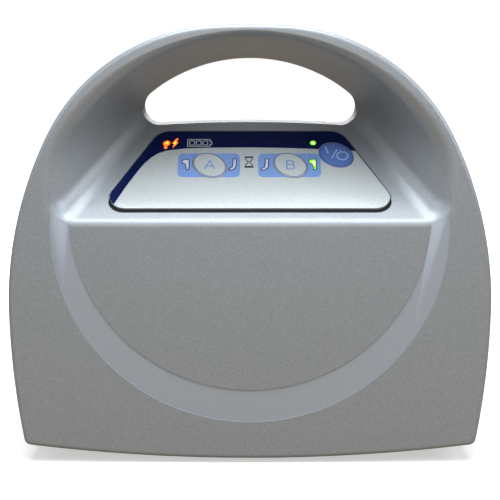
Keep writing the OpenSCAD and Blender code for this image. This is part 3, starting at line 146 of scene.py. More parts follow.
class Housing:
    """The tangent arcs of the housing's outline, of the scoop's rim and of the hand opening."""
    half_width = WIDTH / 2
    top_radius = 258.0
    shoulder_radius = 80.0
    side_radius = 155.6
    shoulder_start = 27.7
    low_side_radius = 330.0
    base_radius = 725.0
    corner_radius = 3.0
    rim_half = 78.6
    rim_drop = 3.6
    rim_top_radius = 87.0
    rim_side_radius = 35.0
    rim_corner = 8.0
    handle_thickness = 14.3
    open_half = 46.4
    open_radius = 69.0
    open_corner = 7.2
    band_radius = 80.7
    band_height = 98.8
    band_inner_radius = 72.8
    band_inner_height = 104.7

    def __init__(self, sizes):
        self.crest = sizes.crest_height
        self.floor_top = sizes.floor_top
        self.cover = sizes.cover_depth
        self.base_gap = sizes.base_gap
        self.slope = degrees(atan((self.floor_top - self.crest) / self.cover))
        hw, rs, ru, rt = self.half_width, self.side_radius, self.shoulder_radius, self.top_radius
        self.top_centre = (0.0, TOP - rt)
        start = radians(self.shoulder_start)
        self.shoulder_end = degrees(acos((hw - rs + (rs - ru) * cos(start)) / (rt - ru)))
        end = radians(self.shoulder_end)
        self.shoulder_centre = ((rt - ru) * cos(end), TOP - rt + (rt - ru) * sin(end))
        self.side_centre = (
            self.shoulder_centre[0] - (rs - ru) * cos(start),
            self.shoulder_centre[1] - (rs - ru) * sin(start),
        )
        self.low_centre = (hw - self.low_side_radius, self.side_centre[1])
        self.base_centre = (0.0, self.base_gap + self.base_radius)
        self.rim_centre = (0.0, TOP - self.rim_drop - self.rim_top_radius)
        side_x = self.rim_half - self.rim_side_radius
        self.rim_side_centre = (
            side_x, self.rim_centre[1] + sqrt((self.rim_top_radius - self.rim_side_radius) ** 2 - side_x ** 2)
        )
        self.rim_split = bearing(self.rim_centre, self.rim_side_centre)
        self.rim_corner_centre = (self.rim_half - self.rim_corner, self.crest + self.rim_corner)
        self.open_centre = (0.0, TOP - self.handle_thickness - self.open_radius)
        corner_x = self.open_half - self.open_corner
        self.open_corner_centre = (
            corner_x, self.open_centre[1] + sqrt((self.open_radius - self.open_corner) ** 2 - corner_x ** 2)
        )
        self.open_split = bearing(self.open_centre, self.open_corner_centre)
        fall = self.open_corner_centre[1] - self.floor_top
        reach = corner_x ** 2 + fall ** 2 - self.open_corner ** 2
        self.arch_radius = reach / (2 * (self.open_corner - fall))
        self.arch_centre = (0.0, self.floor_top - self.arch_radius)

    # A station runs from 0, the bottom middle, to 5, the top middle, round the right half:
    # 0-1 lower edge, 1-2 corner, 2-3 straight side, 3-4 side arc, 4-5 top arc of the rim.
    def outline(self, station, inset):
        corner = max(self.corner_radius - inset, 0.3)
        k = meeting(
            self.low_centre, self.low_side_radius - inset - corner,
            self.base_centre, self.base_radius - inset - corner,
        )
        low, high = bearing(self.base_centre, k), bearing(self.low_centre, k)
        if station <= 1:
            return on_arc(self.base_centre, self.base_radius - inset, -90 + station * (low + 90))
        if station <= 2:
            return on_arc(k, corner, low + (station - 1) * (high - low))
        if station <= 4:
            angle = high + (station - 2) / 2 * (self.shoulder_start - high)
        else:
            angle = self.shoulder_start + (station - 4) * (90 - self.shoulder_start)
        if angle < 0:
            return on_arc(self.low_centre, self.low_side_radius - inset, angle)
        if angle < self.shoulder_start:
            return on_arc(self.side_centre, self.side_radius - inset, angle)
        if angle < self.shoulder_end:
            return on_arc(self.shoulder_centre, self.shoulder_radius - inset, angle)
        return on_arc(self.top_centre, self.top_radius - inset, angle)

    def rim(self, station, grow):
        c = self.rim_corner_centre
        if station <= 1:
            return Vector((station * c[0], 0, self.crest - grow))
        if station <= 2:
            return on_arc(c, self.rim_corner + grow, -90 + 90 * (station - 1))
        if station <= 3:
            return Vector((self.rim_half + grow, 0, c[1] + (station - 2) * (self.rim_side_centre[1] - c[1])))
        if station <= 4:
            return on_arc(self.rim_side_centre, self.rim_side_radius + grow, (station - 3) * self.rim_split)
        return on_arc(
            self.rim_centre, self.rim_top_radius + grow, self.rim_split + (station - 4) * (90 - self.rim_split)
        )

    def opening(self, station, grow):
        k = self.open_corner_centre
        if station <= 1:
            last = bearing(self.arch_centre, k)
            return on_arc(self.arch_centre, self.arch_radius - grow, 90 + station * (last - 90))
        if station <= 2:
            angle = -90 + 80 * (station - 1)
        elif station <= 3:
            angle = -10 + 15 * (station - 2)
        elif station <= 4:
            angle = 5 + (self.rim_split - 5) * (station - 3)
        else:
            angle = self.rim_split + (90 - self.rim_split) * (station - 4)
        if angle < self.open_split:
            return on_arc(k, self.open_corner + grow, angle)
        return on_arc(self.open_centre, self.open_radius + grow, angle)

    def floor_depth(self, z):
        """Depth at which the scoop floor reaches a height, and no deeper than the cover."""
        return min(self.cover, (z - self.crest) / tan(radians(self.slope)))

    def on_floor(self, x, up, out=0.0):
        """A point x across and up the scoop floor from the crest, out square from it."""
        s = radians(self.slope)
        return Vector((x, up * cos(s) - out * sin(s), self.crest + up * sin(s) + out * cos(s)))

    def ring(self, point_at):
        """A closed ring from the points of its right half: the left half mirrors it."""
        half = [point_at(s) for s in STATIONS]
        return half + [Vector((-p.x, p.y, p.z)) for p in reversed(half[1:-1])]

    def outline_ring(self, inset, depth):
        return self.ring(lambda s: at_depth(self.outline(s, inset), depth))

    def opening_ring(self, grow, depth):
        return self.ring(lambda s: at_depth(self.opening(s, grow), depth))


def at_depth(p, depth):
    p.y = depth
    return p


# Stations round the right half, close together where an outline turns sharply
ZONE_COUNTS = (44, 20, 24, 20, 44)
STATIONS = [zone + i / count for zone, count in enumerate(ZONE_COUNTS) for i in range(count)] + [5.0]


# ------------------------------------------------------------------ meshes

MERGE_REACH = 1e-7                  # points closer than this, in metres, are one


def to_metres(p):
    return Vector((p[0] * MM, (p[1] + FRONT) * MM, p[2] * MM))


def linked(name, data):
    """A new object in the scene."""
    thing = bpy.data.objects.new(name, data)
    bpy.context.scene.collection.objects.link(thing)
    return thing


def evaluated_mesh(thing):
    """The plain mesh that an object's modifiers make."""
    bpy.context.view_layer.update()
    return bpy.data.meshes.new_from_object(thing.evaluated_get(bpy.context.evaluated_depsgraph_get()))


def plain_mesh(name, points, faces):
    """A mesh from points in millimetres, their y a depth, with its faces turned outwards."""
    mesh = bpy.data.meshes.new(name)
    mesh.from_pydata([to_metres(p) for p in points], [], faces)
    made = bmesh.new()
    made.from_mesh(mesh)
    bmesh.ops.remove_doubles(made, verts=made.verts, dist=MERGE_REACH)
    bmesh.ops.recalc_face_normals(made, faces=made.faces)
    made.to_mesh(mesh)
    made.free()
    return mesh


def finish_piece(name, mesh, finish, body=PUMP, smooth=35.0, node=None, slot=None):
    """A finished piece that rides on a body and may take the place of a node of the frame."""
    piece = linked(name, mesh)
    mesh.materials.clear()
    mesh.materials.append(Finishes.made[finish])
    for face in mesh.polygons:
        face.use_smooth = True
    mesh.set_sharp_from_angle(angle=radians(smooth))
    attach(piece, body)
    if node:
        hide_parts(node)
    slot or FINISH_SLOTS.get(finish, "label_film")


def add_piece(name, solid, finish, **how):
    """A finished piece from a solid's points and faces."""
    finish_piece(name, plain_mesh(name, *solid), finish, **how)


def cutter(name, solid):
    return linked(name, plain_mesh(name, *solid))


def carve(mesh, tools):
    """A copy of a mesh with every tool cut out of it; the tools are used up."""
    block = linked("carved_block", mesh)
    for tool in tools:
        cut = block.modifiers.new("cut", "BOOLEAN")
        cut.operation = "DIFFERENCE"
        cut.solver = "MANIFOLD"
        cut.object = tool
    result = evaluated_mesh(block)
    for used in (block, *tools):
        bpy.data.objects.remove(used)
    return result


def joined_mesh(name, meshes):
    """One mesh from several, which are used up."""
    made = bmesh.new()
    for mesh in meshes:
        made.from_mesh(mesh)
        bpy.data.meshes.remove(mesh)
    result = bpy.data.meshes.new(name)
    made.to_mesh(result)
    made.free()
    return result


def softened(name, solid, width, steps=2, angle=30):
    """A solid's mesh with its sharp edges rounded."""
    mesh = plain_mesh(name, *solid)
    made = bmesh.new()
    made.from_mesh(mesh)
    sharp = [e for e in made.edges if len(e.link_faces) == 2 and e.calc_face_angle(0) > radians(angle)]
    bmesh.ops.bevel(
        made, geom=sharp, offset=width * MM, segments=steps, profile=0.5, affect="EDGES", clamp_overlap=True
    )
    made.to_mesh(mesh)
    made.free()
    return mesh


# ------------------------------------------------------------------ plain solids

# A solid is a list of points and one of faces.

def join_rings(rings, closed=True):
    """The faces between rings of equally many points; closed joins the last ring to the first."""
    count = len(rings[0])
    faces = []
    for i in range(len(rings) if closed else len(rings) - 1):
        a, b = i * count, (i + 1) % len(rings) * count
        for k in range(count):
            n = (k + 1) % count
            faces.append((a + k, a + n, b + n, b + k))
    return [p for ring in rings for p in ring], faces


def solid_between(rings):
    """A closed solid from rings, with a face on each end."""
    points, faces = join_rings(rings, False)
    count = len(rings[0])
    faces.append(tuple(range(count)))
    faces.append(tuple(range(len(points) - count, len(points))))
    return points, faces


def merged(solids):
    """Several solids as one."""
    points, faces = [], []
    for more, sides in solids:
        faces += [tuple(len(points) + k for k in face) for face in sides]
        points += more
    return points, faces


def prism_between(outline, near, far):
    """A solid along the depth from an outline in x and z."""
    return solid_between([[(x, depth, z) for x, z in outline] for depth in (near, far)])


def prism_across(outline, x0, x1):
    """A solid whose outline, in depth and height, reaches from x0 to x1."""
    return solid_between([[Vector((x, y, z)) for y, z in outline] for x in (x0, x1)])


def floor_prism(housing, outline, low, high):
    """A solid that stands square on the scoop floor between two heights."""
    return solid_between([[housing.on_floor(x, v, w) for x, v in outline] for w in (low, high)])


def turned(profile, centre, axis="y", hollow=False, steps=40):
    """A body of revolution; its profile gives radius and place along the axis, its centre the other two."""
    order = {"x": (2, 0, 1), "y": (0, 2, 1), "z": (0, 1, 2)}[axis]
    rings = []
    for radius, along in profile:
        ring = []
        for i in range(steps):
            a = 2 * pi * i / steps
            local = (centre[0] + radius * cos(a), centre[1] + radius * sin(a), along)
            ring.append(Vector([local[k] for k in order]))
        rings.append(ring)
    return join_rings(rings) if hollow else solid_between(rings)


def bar(centre, radius, low, high, axis="y"):
    return turned([(radius, low), (radius, high)], centre, axis)


def rounded_corners(corners, steps=8):
    """Points round a polygon whose corners are (x, y, radius), each rounded with an arc."""
    points = []
    count = len(corners)
    for i, (x, y, radius) in enumerate(corners):
        here = Vector((x, y))
        before = (Vector(corners[i - 1][:2]) - here).normalized()
        after = (Vector(corners[(i + 1) % count][:2]) - here).normalized()
        half = acos(max(-1, min(1, before.dot(after)))) / 2
        centre = here + (before + after).normalized() * radius / sin(half)
        first = here + before * radius / tan(half) - centre
        last = here + after * radius / tan(half) - centre
        start = atan2(first.y, first.x)
        turn = (atan2(last.y, last.x) - start + pi) % (2 * pi) - pi
        for k in range(steps + 1):
            a = start + turn * k / steps
            points.append((centre.x + radius * cos(a), centre.y + radius * sin(a)))
    return points


def box_outline(centre, wide, high, radius=0.0):
    u, v = wide / 2, high / 2
    corners = [(centre[0] + a * u, centre[1] + b * v) for a, b in ((-1, -1), (1, -1), (1, 1), (-1, 1))]
    return rounded_corners([(x, z, radius) for x, z in corners], 6) if radius else corners


def ease(a, b, t):
    """From a to b as t goes from 0 to 1, level at both ends."""
    t = max(0.0, min(1.0, t))
    return a + (b - a) * t * t * (3 - 2 * t)


def conic(a, corner, b, weight, t):
    """The point at a share t of the way round a rounded corner from a to b."""
    wa, wc, wb = (1 - t) ** 2, 2 * t * (1 - t) * weight, t * t
    return (a * wa + corner * wc + b * wb) / (wa + wc + wb)


# ------------------------------------------------------------------ repeated pieces

def repeater(name, lined_up):
    """A node group that repeats an object at the points of a mesh, or in a line of its own."""
    group = bpy.data.node_groups.new(name, "GeometryNodeTree")
    inputs = {"Geometry": "Geometry", "Piece": "Object", "Turn": "Vector", "Finish": "Material"}
    if lined_up:
        inputs.update({"Count": "Int", "Start": "Vector", "Step": "Vector"})
    for label, kind in inputs.items():
        group.interface.new_socket(label, in_out="INPUT", socket_type="NodeSocket" + kind)
    group.interface.new_socket("Geometry", in_out="OUTPUT", socket_type="NodeSocketGeometry")
    given = group.nodes.new("NodeGroupInput").outputs

    def node(kind, sources):
        """A node of a kind, each of its inputs linked to a source."""
        made = group.nodes.new(kind)
        for socket, source in sources.items():
            group.links.new(source, made.inputs[socket])
        return made.outputs
    piece = group.nodes.new("GeometryNodeObjectInfo")
    piece.inputs["As Instance"].default_value = True
    group.links.new(given["Piece"], piece.inputs["Object"])
    points = given["Geometry"]
    if lined_up:
        line = {"Count": given["Count"], "Start Location": given["Start"], "Offset": given["Step"]}
        points = node("GeometryNodeMeshLine", line)["Mesh"]
    spread_out = {"Points": points, "Instance": piece.outputs["Geometry"], "Rotation": given["Turn"]}
    copies = node("GeometryNodeInstanceOnPoints", spread_out)["Instances"]
    whole = node("GeometryNodeRealizeInstances", {"Geometry": copies})["Geometry"]
    finished = node("GeometryNodeSetMaterial", {"Geometry": whole, "Material": given["Finish"]})["Geometry"]
    node("NodeGroupOutput", {"Geometry": finished})
    return group


def repeated(name, group, mesh, points, values):
    """The plain mesh that a node group makes from one piece; the inputs are set by name."""
    piece = linked(name + "_one", mesh)
    holder_mesh = bpy.data.meshes.new(name + "_points")
    holder_mesh.from_pydata([to_metres(p) for p in points], [], [])
    holder = linked(name + "_holder", holder_mesh)
    maker = holder.modifiers.new("repeat", "NODES")
    maker.node_group = group
    sockets = {s.name: s.identifier for s in group.interface.items_tree if s.in_out == "INPUT"}
    for key, value in {**values, "Piece": piece}.items():
        maker[sockets[key]] = value
    made = evaluated_mesh(holder)
    for used in (holder, piece):
        bpy.data.objects.remove(used)
    return made


DOME_SHARES = (1.0, 0.97, 0.88, 0.7, 0.45, 0.15)     # of the head's radius


def screw_mesh(name, shank, head, thick, length):
    """A pan-head screw with a cross recess, its seat at the origin and its head towards +y."""
    dome = [(head * f, thick * (1 - (1 - sqrt(1 - (f * 0.98) ** 2)) * 0.55)) for f in DOME_SHARES]
    profile = [(shank * 0.6, -length), (shank, -length + shank * 0.5), (shank, 0), (head, 0)] + dome
    body = plain_mesh(name, *turned([(r, y - FRONT) for r, y in profile], (0, 0), steps=32))
    reach, slot, deep = head * 1.2, head * 0.34, thick * 0.55
    arms = [
        cutter("recess_arm", prism_between(box_outline((0, 0), a, b), thick - deep - FRONT, thick + 1 - FRONT))
        for a, b in ((reach, slot), (slot, reach))
    ]
    return carve(body, arms)


# ------------------------------------------------------------------ label and keys, sizes on the scoop floor

LABEL_LOW_HALF, LABEL_TOP_HALF = 61.4, 38.6
LABEL_LOW, LABEL_HIGH = 7.8, 52.2
LABEL_LOW_CORNER, LABEL_TOP_CORNER = 6.5, 8.0
LABEL_THICK = 1.0
LABEL_EDGE = 0.22                   # rounding of the label's top edge
LABEL_GAP = 0.45                    # between the label and the wall of its pocket
LABEL_GROOVE = 2.0                  # how much further the pocket reaches below the label
GAP_SHADE_THICK = 0.12                 # the near-black sheet under the label, painted shade for the shadow in the gap round it
KEY_LONG, KEY_SHORT, KEY_TURN = 7.9, 6.4, -46.0
KEY_A, KEY_B, KEY_POWER = (-16.9, 32.0), (16.9, 32.0), (36.3, 38.1)
KEY_PROUD = 0.3
KEY_GAP = 0.2
KEY_EDGE = 0.28
KEY_FLANGE, KEY_FLANGE_TOP, KEY_FLANGE_THICK = 0.8, -2.6, 1.2


def label_outline(grow, shift=0.0):
    low, high = LABEL_LOW - grow + shift, LABEL_HIGH + grow + shift
    return rounded_corners([
        (-LABEL_LOW_HALF - grow, low, LABEL_LOW_CORNER),
        (LABEL_LOW_HALF + grow, low, LABEL_LOW_CORNER),
        (LABEL_TOP_HALF + grow, high, LABEL_TOP_CORNER),
        (-LABEL_TOP_HALF - grow, high, LABEL_TOP_CORNER),
    ])


def oval(centre, grow, steps=48):
    turn = radians(KEY_TURN)
    points = []
    for i in range(steps):
        a = 2 * pi * i / steps
        u, v = (KEY_LONG + grow) * cos(a), (KEY_SHORT + grow) * sin(a)
        points.append((centre[0] + u * cos(turn) - v * sin(turn), centre[1] + u * sin(turn) + v * cos(turn)))
    return points


def key_cutters(housing, grow, low):
    return [cutter("key_cut", floor_prism(housing, oval(c, grow), low, 1)) for c in (KEY_A, KEY_B, KEY_POWER)]


def bevel_rings(housing, outline_at, low, high, edge, steps=3):
    """Rings of a plate on the scoop floor whose top edge is rounded; outline_at takes how far it grows."""
    rings = [[housing.on_floor(x, v, low) for x, v in outline_at(0)]]
    for i in range(steps + 1):
        a = radians(90 * i / steps)
        grow = -edge * (1 - cos(a))
        rings.append([housing.on_floor(x, v, high - edge + edge * sin(a)) for x, v in outline_at(grow)])
    return rings


# ------------------------------------------------------------------ printed artwork

PRINT_THICK = 0.04
# Inner edge of the label's dark header, from its lower left end to the right edge
HEADER_EDGE = (
    (-55.3, 10.1), (-51.2, 19.6), (-46.7, 28.7), (-44.2, 33.2), (-41.2, 36.9), (-38.4, 39.3), (-35.1, 40.7),
    (-27.1, 42.0), (-14, 42.5), (-0.4, 42.6), (14, 42.3), (28.8, 41.6), (44.8, 40.4),
)
FIELD_LOW, FIELD_HIGH, FIELD_CORNER = 25.1, 38.9, 2.5
FIELDS = ((-30.2, -4.2), (3.4, 29.6))
LETTER_LINE, POWER_LINE, KEY_EDGE_LINE, SYMBOL_LINE, PORT_LINE = 0.55, 0.7, 0.38, 0.42, 0.75
LETTER_A = (((-2.0, -2.4), (0.0, 2.5), (2.0, -2.4)), ((-1.25, -0.75), (1.25, -0.75)))
POWER_MARKS = (((-4.4, 4.7), (-3.3, 0.5)), ((0.5, 3.0), (-1.9, -2.2)), ((1.7, 2.6), (2.1, 0.9)))
POWER_RING = ((2.6, -0.8), 2.3)
FOOT = (
    (-1.5, 2.3), (-0.7, 3.0), (1.4, 3.1), (1.6, 0.2), (1.4, -2.7), (0.5, -3.1), (0.2, -1.2), (-0.3, 0.5),
    (-1.4, 0.9),
)
LEG = (
    (0.1, 3.4), (1.5, 3.4), (1.5, 0.4), (1.2, -1.8), (0.0, -3.0), (-1.6, -3.3), (-1.6, -2.3), (-0.3, -1.5),
    (0.0, 0.2),
)
PLUG_BODY = (
    (-1.3, 0.3), (-1.0, 1.2), (0.4, 2.0), (1.5, 1.5), (1.7, 0.3), (1.1, -0.8), (0.3, -1.1), (0.6, -2.4),
    (-0.2, -3.0), (-0.9, -2.6), (-0.5, -1.2), (-1.1, -0.6),
)
BOLT_BODY = ((0.6, 2.9), (-1.3, 0.0), (-0.2, 0.1), (-1.0, -2.9), (1.5, 0.7), (0.3, 0.6), (1.5, 2.9))
BATTERY_CASE = (
    (-5.1, -2.1), (4.4, -2.1), (4.4, -0.9), (5.1, -0.9), (5.1, 0.9), (4.4, 0.9), (4.4, 2.1), (-5.1, 2.1),
)
BATTERY_CELLS, CELL_WIDE, CELL_HIGH = (-3.2, -0.4, 2.4), 2.0, 2.5
GLASS = (
    (-1.5, 2.6), (1.5, 2.6), (1.3, 1.5), (0.25, 0.0), (1.3, -1.5), (1.5, -2.6), (-1.5, -2.6), (-1.3, -1.5),
    (-0.25, 0.0), (-1.3, 1.5),
)
GLASS_ENDS = (((-1.9, -3.0), (1.9, -3.0)), ((-1.9, 3.0), (1.9, 3.0)))
DARK_FOOT, LIT_FOOT = (-27.0, 32.3), (26.2, 32.4)
LEG_PLACES = ((-7.2, 32.4), (6.3, 32.3))
HOURGLASS = (-0.4, 33.9)
BATTERY = (-21.4, 45.2)
PLUG = (-35.6, 44.6)
BOLT = (-31.9, 44.9)
LAMP, LAMP_RADIUS = (26.8, 45.2), 1.25


def header_outline():
    """The header runs up the label's left edge, over its top and down to the right edge."""
    outline = label_outline(-0.02)
    steps = len(outline) // 4
    arcs = [list(reversed(outline[i * steps:(i + 1) * steps])) for i in range(4)]
    low_left = [p for p in arcs[0] if p[0] < HEADER_EDGE[0][0] - 0.4]
    return low_left + arcs[3] + arcs[2] + list(reversed(HEADER_EDGE))


def moved(points, place, size=1.0):
    return [(place[0] + size * x, place[1] + size * y) for x, y in points]


def circle(centre, radius, steps=28):
    return [
        (centre[0] + radius * cos(2 * pi * i / steps), centre[1] + radius * sin(2 * pi * i / steps))
        for i in range(steps)
    ]


def letter_b():
    """Two bowls on one stem."""
    def bowl(low, high, reach):
        radius, middle = (high - low) / 2, (high + low) / 2
        turn = [(reach - radius + radius * cos(radians(a)), middle + radius * sin(radians(a)))
                for a in range(-90, 91, 15)]
        return [(-1.5, low)] + turn + [(-1.5, high)]
    return [bowl(-2.4, 0.1, 1.7), bowl(0.1, 2.4, 1.4)[1:], [(-1.5, -2.65), (-1.5, 2.65)]]


def battery_lines():
    cells = [box_outline((x, 0.0), CELL_WIDE, CELL_HIGH, 0.3) for x in BATTERY_CELLS]
    return [moved(line, BATTERY) for line in (BATTERY_CASE, *cells)]


def line_sides(points, width, closed):
    """The two sides of a drawn line, mitred at its corners."""
    left, right = [], []
    count = len(points)
    for i, p in enumerate(points):
        here = Vector(p)
        before = Vector(points[i - 1]) if closed or i else here
        after = Vector(points[(i + 1) % count]) if closed or i < count - 1 else here
        ways = [w.normalized() for w in (here - before, after - here) if w.length > 0]
        way = sum(ways, Vector((0, 0))).normalized()
        aside = Vector((-way.y, way.x)) * width / 2 / max(0.5, way.dot(ways[0]))
        left.append(tuple(here + aside))
        right.append(tuple(here - aside))
    return left, right


def raised(housing, outlines, high):
    """Thin solids on the scoop floor from flat outlines."""
    return merged(floor_prism(housing, outline, 0, high) for outline in outlines)


def raised_line(face, lines, width, low, high, closed=False):
    """Drawn lines as strips that are closed all round."""
    strips = []
    for line in lines:
        rings = [
            [face.on_floor(x, v, w) for (x, v), w in ((a, low), (b, low), (b, high), (a, high))]
            for a, b in zip(*line_sides(line, width, closed))
        ]
        strips.append(join_rings(rings) if closed else solid_between(rings))
    return merged(strips)


class BackFace:
    """The back of the pump as seen from behind, for drawing on."""
    def __init__(self, x, z, depth):
        self.x, self.z, self.depth = x, z, depth

    def on_floor(self, x, up, out=0.0):
        return Vector((self.x - x, self.depth + out, self.z + up))


# ------------------------------------------------------------------ front cover

JOINT_EDGE = 0.35                   # the small slant on each side of the joint between the halves


def front_rings(housing, sizes):
    """Rings round the front cover, from the joint over the face and down the scoop, then back inside."""
    skin, edge, cover = sizes.skin, sizes.front_edge, sizes.cover_depth
    ring, outline_ring = housing.ring, housing.outline_ring

    def face_reach(s):
        """How far the rim's rounding reaches on to the face."""
        if s <= 1:
            return 2.0
        return ease(2.0, 4.0, s - 1) if s <= 4 else ease(4.0, 1.5, (s - 4) / 0.9)

    def wall_reach(s):
        """How far the rim's rounding reaches into the scoop."""
        return 2.4 if s <= 1 else ease(2.4, 6.0, s - 1)

    def fillet_at(s):
        rim = housing.rim(s, 0)
        mouth = housing.opening(s, 0)
        mouth.y = housing.floor_depth(mouth.z)
        way = (mouth - rim).normalized()
        start = housing.rim(s, face_reach(s))
        end = rim + way * wall_reach(s)
        turn = (rim - start).normalized().angle(way)
        return start, rim, end, mouth, cos(turn / 2)

    def face_at(s, share):
        return housing.outline(s, edge + 0.3).lerp(housing.rim(s, face_reach(s)), share)

    def rounding_at(s, share):
        start, rim, end, mouth, weight = fillet_at(s)
        return conic(start, rim, end, weight, share)

    def wall_at(s, share):
        start, rim, end, mouth, weight = fillet_at(s)
        return end.lerp(mouth, share)

    def inside_at(s, share):
        thick = ease(3.2, 1.5, s / 4)
        return housing.rim(s, thick).lerp(at_depth(housing.opening(s, thick), cover), share)

    rings = [outline_ring(JOINT_EDGE, cover), outline_ring(0, cover - JOINT_EDGE)]
    rings += [outline_ring(0, depth) for depth in (cover - 1, cover * 0.66, cover * 0.33, edge + 0.4, edge)]
    for a in (15, 30, 45, 60, 75, 90):
        rings.append(outline_ring(edge * (1 - cos(radians(a))), edge * (1 - sin(radians(a)))))
    rings.append(outline_ring(edge + 0.25, 0))
    rings += [ring(lambda s: face_at(s, share)) for share in (0.02, 0.35, 0.7, 0.98, 1.0)]
    rings += [ring(lambda s: rounding_at(s, i / 10)) for i in range(1, 11)]
    rings += [ring(lambda s: wall_at(s, i / 12)) for i in (0.2, 1.5, 3, 4.5, 6, 7.5, 9, 10.5, 11.8, 12)]
    rings.append(housing.opening_ring(0, cover))
    rings += [ring(lambda s: inside_at(s, share)) for share in (1.0, 0.6, 0.3, skin / cover)]
    return rings + [outline_ring(skin, skin), outline_ring(skin, cover)]


def band_outline(housing):
    """The band on the front face: between two circles that drift apart towards the bottom."""
    top = housing.crest + 2 * housing.rim_corner

    def side(radius, height, steps=160):
        first = degrees(asin(min(1, (top - height) / radius)))
        turn = [radians(first + (-180 - 2 * first) * i / steps) for i in range(steps + 1)]
        return [(radius * cos(a), height + radius * sin(a)) for a in turn]
    outer = side(housing.band_radius, housing.band_height)
    return outer + list(reversed(side(housing.band_inner_radius, housing.band_inner_height)))


def front_cutters(housing, sizes):
    pockets = (label_outline(LABEL_GAP), label_outline(LABEL_GAP, -LABEL_GROOVE))
    tools = [cutter("label_pocket", floor_prism(housing, pocket, -LABEL_THICK, 1)) for pocket in pockets]
    tools += key_cutters(housing, KEY_GAP, -6)
    return tools + [cutter("band_recess", prism_between(band_outline(housing), -1, sizes.band_depth))]


# ------------------------------------------------------------------ rear housing

SHELF_LOW, SHELF_TOP = 96.8, 132.0  # between these heights the back leans in to the handle
SHELF_LOW_ROUND, SHELF_TOP_ROUND = 14.0, 8.0
BACK_RINGS, BEND_RINGS = 48, 8
CLOSE = 0.0004                      # the share between rings that have no bend to go round
LIP = 3.0                           # rounding of the hand opening at the back
JOINT_GAP = 0.02
SCREW_HEAD, SCREW_HEAD_THICK, SCREW_SHANK = 3.0, 2.4, 1.75
LONG_SCREW, SHORT_SCREW = 31.6, 25.6
# Radii of a screw's shank and head, the head's thickness and the shank's length
INLET_SCREW, DOOR_SCREW = (1.5, 2.8, 1.6, 8.5), (1.25, 2.3, 1.2, 8.0)
WELL_RADIUS, WELL_WALL, WELL_FLOOR = SCREW_HEAD + 0.3, 1.4, 1.5
SEAT_DEPTH, HANDLE_SEAT_DEPTH = 63.0, 57.0
LOW_SCREW, HIGH_SCREW, HANDLE_SCREW = (42.0, 14.0), (78.0, 88.0), (66.0, 143.0)
PORTS = {"a": (-64.0, 62.0), "b": (-64.0, 34.0)}
PORT_WIDE, PORT_HIGH, PORT_LETTER_UP, PORT_LETTER_SIZE, PORT_LETTER_THICK = 34.0, 17.0, 14.0, 1.3, 0.25
NIPPLE_PITCH, NIPPLE_LENGTH, NIPPLE_RADIUS, BORE_RADIUS, STUB_RADIUS = 10.0, 8.0, 2.5, 1.4, 3.0
FLANGE_OUT, FLANGE_CORNER = 2.0, 3.0
INLET, INLET_WIDE, INLET_HIGH, INLET_SCREW_REACH = (60.0, 30.0), 48.0, 24.0, 20.0
SLEEVE_WIDE, SLEEVE_HIGH, SLEEVE_LONG = 28.0, 21.0, 24.0
MOUTH_WIDE, MOUTH_HIGH, MOUTH_DEEP = 24.0, 17.0, 15.5
BLADES, BLADE_WIDE, BLADE_HIGH, BLADE_LENGTH = ((-7, -2.5), (7, -2.5), (0, 2.5)), 2, 4, 9.5
VENT, VENT_WIDE, VENT_HIGH = (60.0, 70.0), 30.0, 26.0
SLAT_COUNT, SLAT_PITCH, SLAT_THICK = 5, 3.5, 1.7
PIN_DEPTH, PIN_HEIGHT, PIN_BORE, SPRING_BORE, SPRING_LONG, BARREL = 101.8, 92.0, 2.05, 3.6, 9.6, 4.8
HOOK_FRONT, HOOK_THICK, HOOK_LIP, HOOK_LOW, HOOK_HALF = 104.5, 4.0, 3.5, 24.0, 36.0
RIB_PLACES, RIB_WIDE, RIB_TOP, RIB_OUT = (-24, -12, 0, 12, 24), 2.2, 88.0, 0.9
PAD_WIDE, PAD_HIGH, PAD_THICK, PAD_RIBS, PAD_RIB_PITCH = 12.0, 40.0, 1.3, 9, 4.0
EAR_THICK = 6.0
DOOR_HALF, DOOR_FROM, DOOR_TO, DOOR_SCREW_REACH = 38.3, 49.7, 86.3, 34.0
FOOT_RADIUS = 6.0


def shelf_fall(sizes):
    """How far the leaning shelf drops for each millimetre that it comes forward."""
    return (SHELF_TOP - SHELF_LOW) / (sizes.body_depth - sizes.handle_depth)


def shelf_bends(sizes):
    """Where the rounding at the foot of the shelf and the one at its top start and end."""
    lean = atan(1 / shelf_fall(sizes))
    low, high = SHELF_LOW_ROUND * tan(lean / 2), SHELF_TOP_ROUND * tan(lean / 2)
    return (SHELF_LOW - low, SHELF_LOW + low * cos(lean)), (SHELF_TOP - high * cos(lean), SHELF_TOP + high)


def back_profile(sizes, z):
    """Depth of the back at a height: upright below the hook's pin, a leaning shelf, the handle's back."""
    (low_start, low_end), (high_start, high_end) = shelf_bends(sizes)
    if z < low_start:
        return sizes.body_depth
    if z < low_end:
        return sizes.body_depth - SHELF_LOW_ROUND + sqrt(SHELF_LOW_ROUND ** 2 - (z - low_start) ** 2)
    if z < high_start:
        return sizes.body_depth - (z - SHELF_LOW) / shelf_fall(sizes)
    if z < high_end:
        return sizes.handle_depth + SHELF_TOP_ROUND - sqrt(SHELF_TOP_ROUND ** 2 - (high_end - z) ** 2)
    return sizes.handle_depth


def back_shares(sizes, start_z, end_z):
    """Ring places on the way from the back's edge to the hand opening, with more round the two bends."""
    shares = [i / BACK_RINGS for i in range(1, BACK_RINGS + 1)]
    levels = [
        start + (end - start) * i / BEND_RINGS
        for start, end in shelf_bends(sizes) for i in range(BEND_RINGS + 1)
    ]
    for i, level in enumerate(levels):
        share = (level - start_z) / (end_z - start_z) if start_z < level < end_z else float(level > start_z)
        shares.append(min(max(share, CLOSE * (i + 1)), 1 - CLOSE * (len(levels) - i)))
    return sorted(shares)


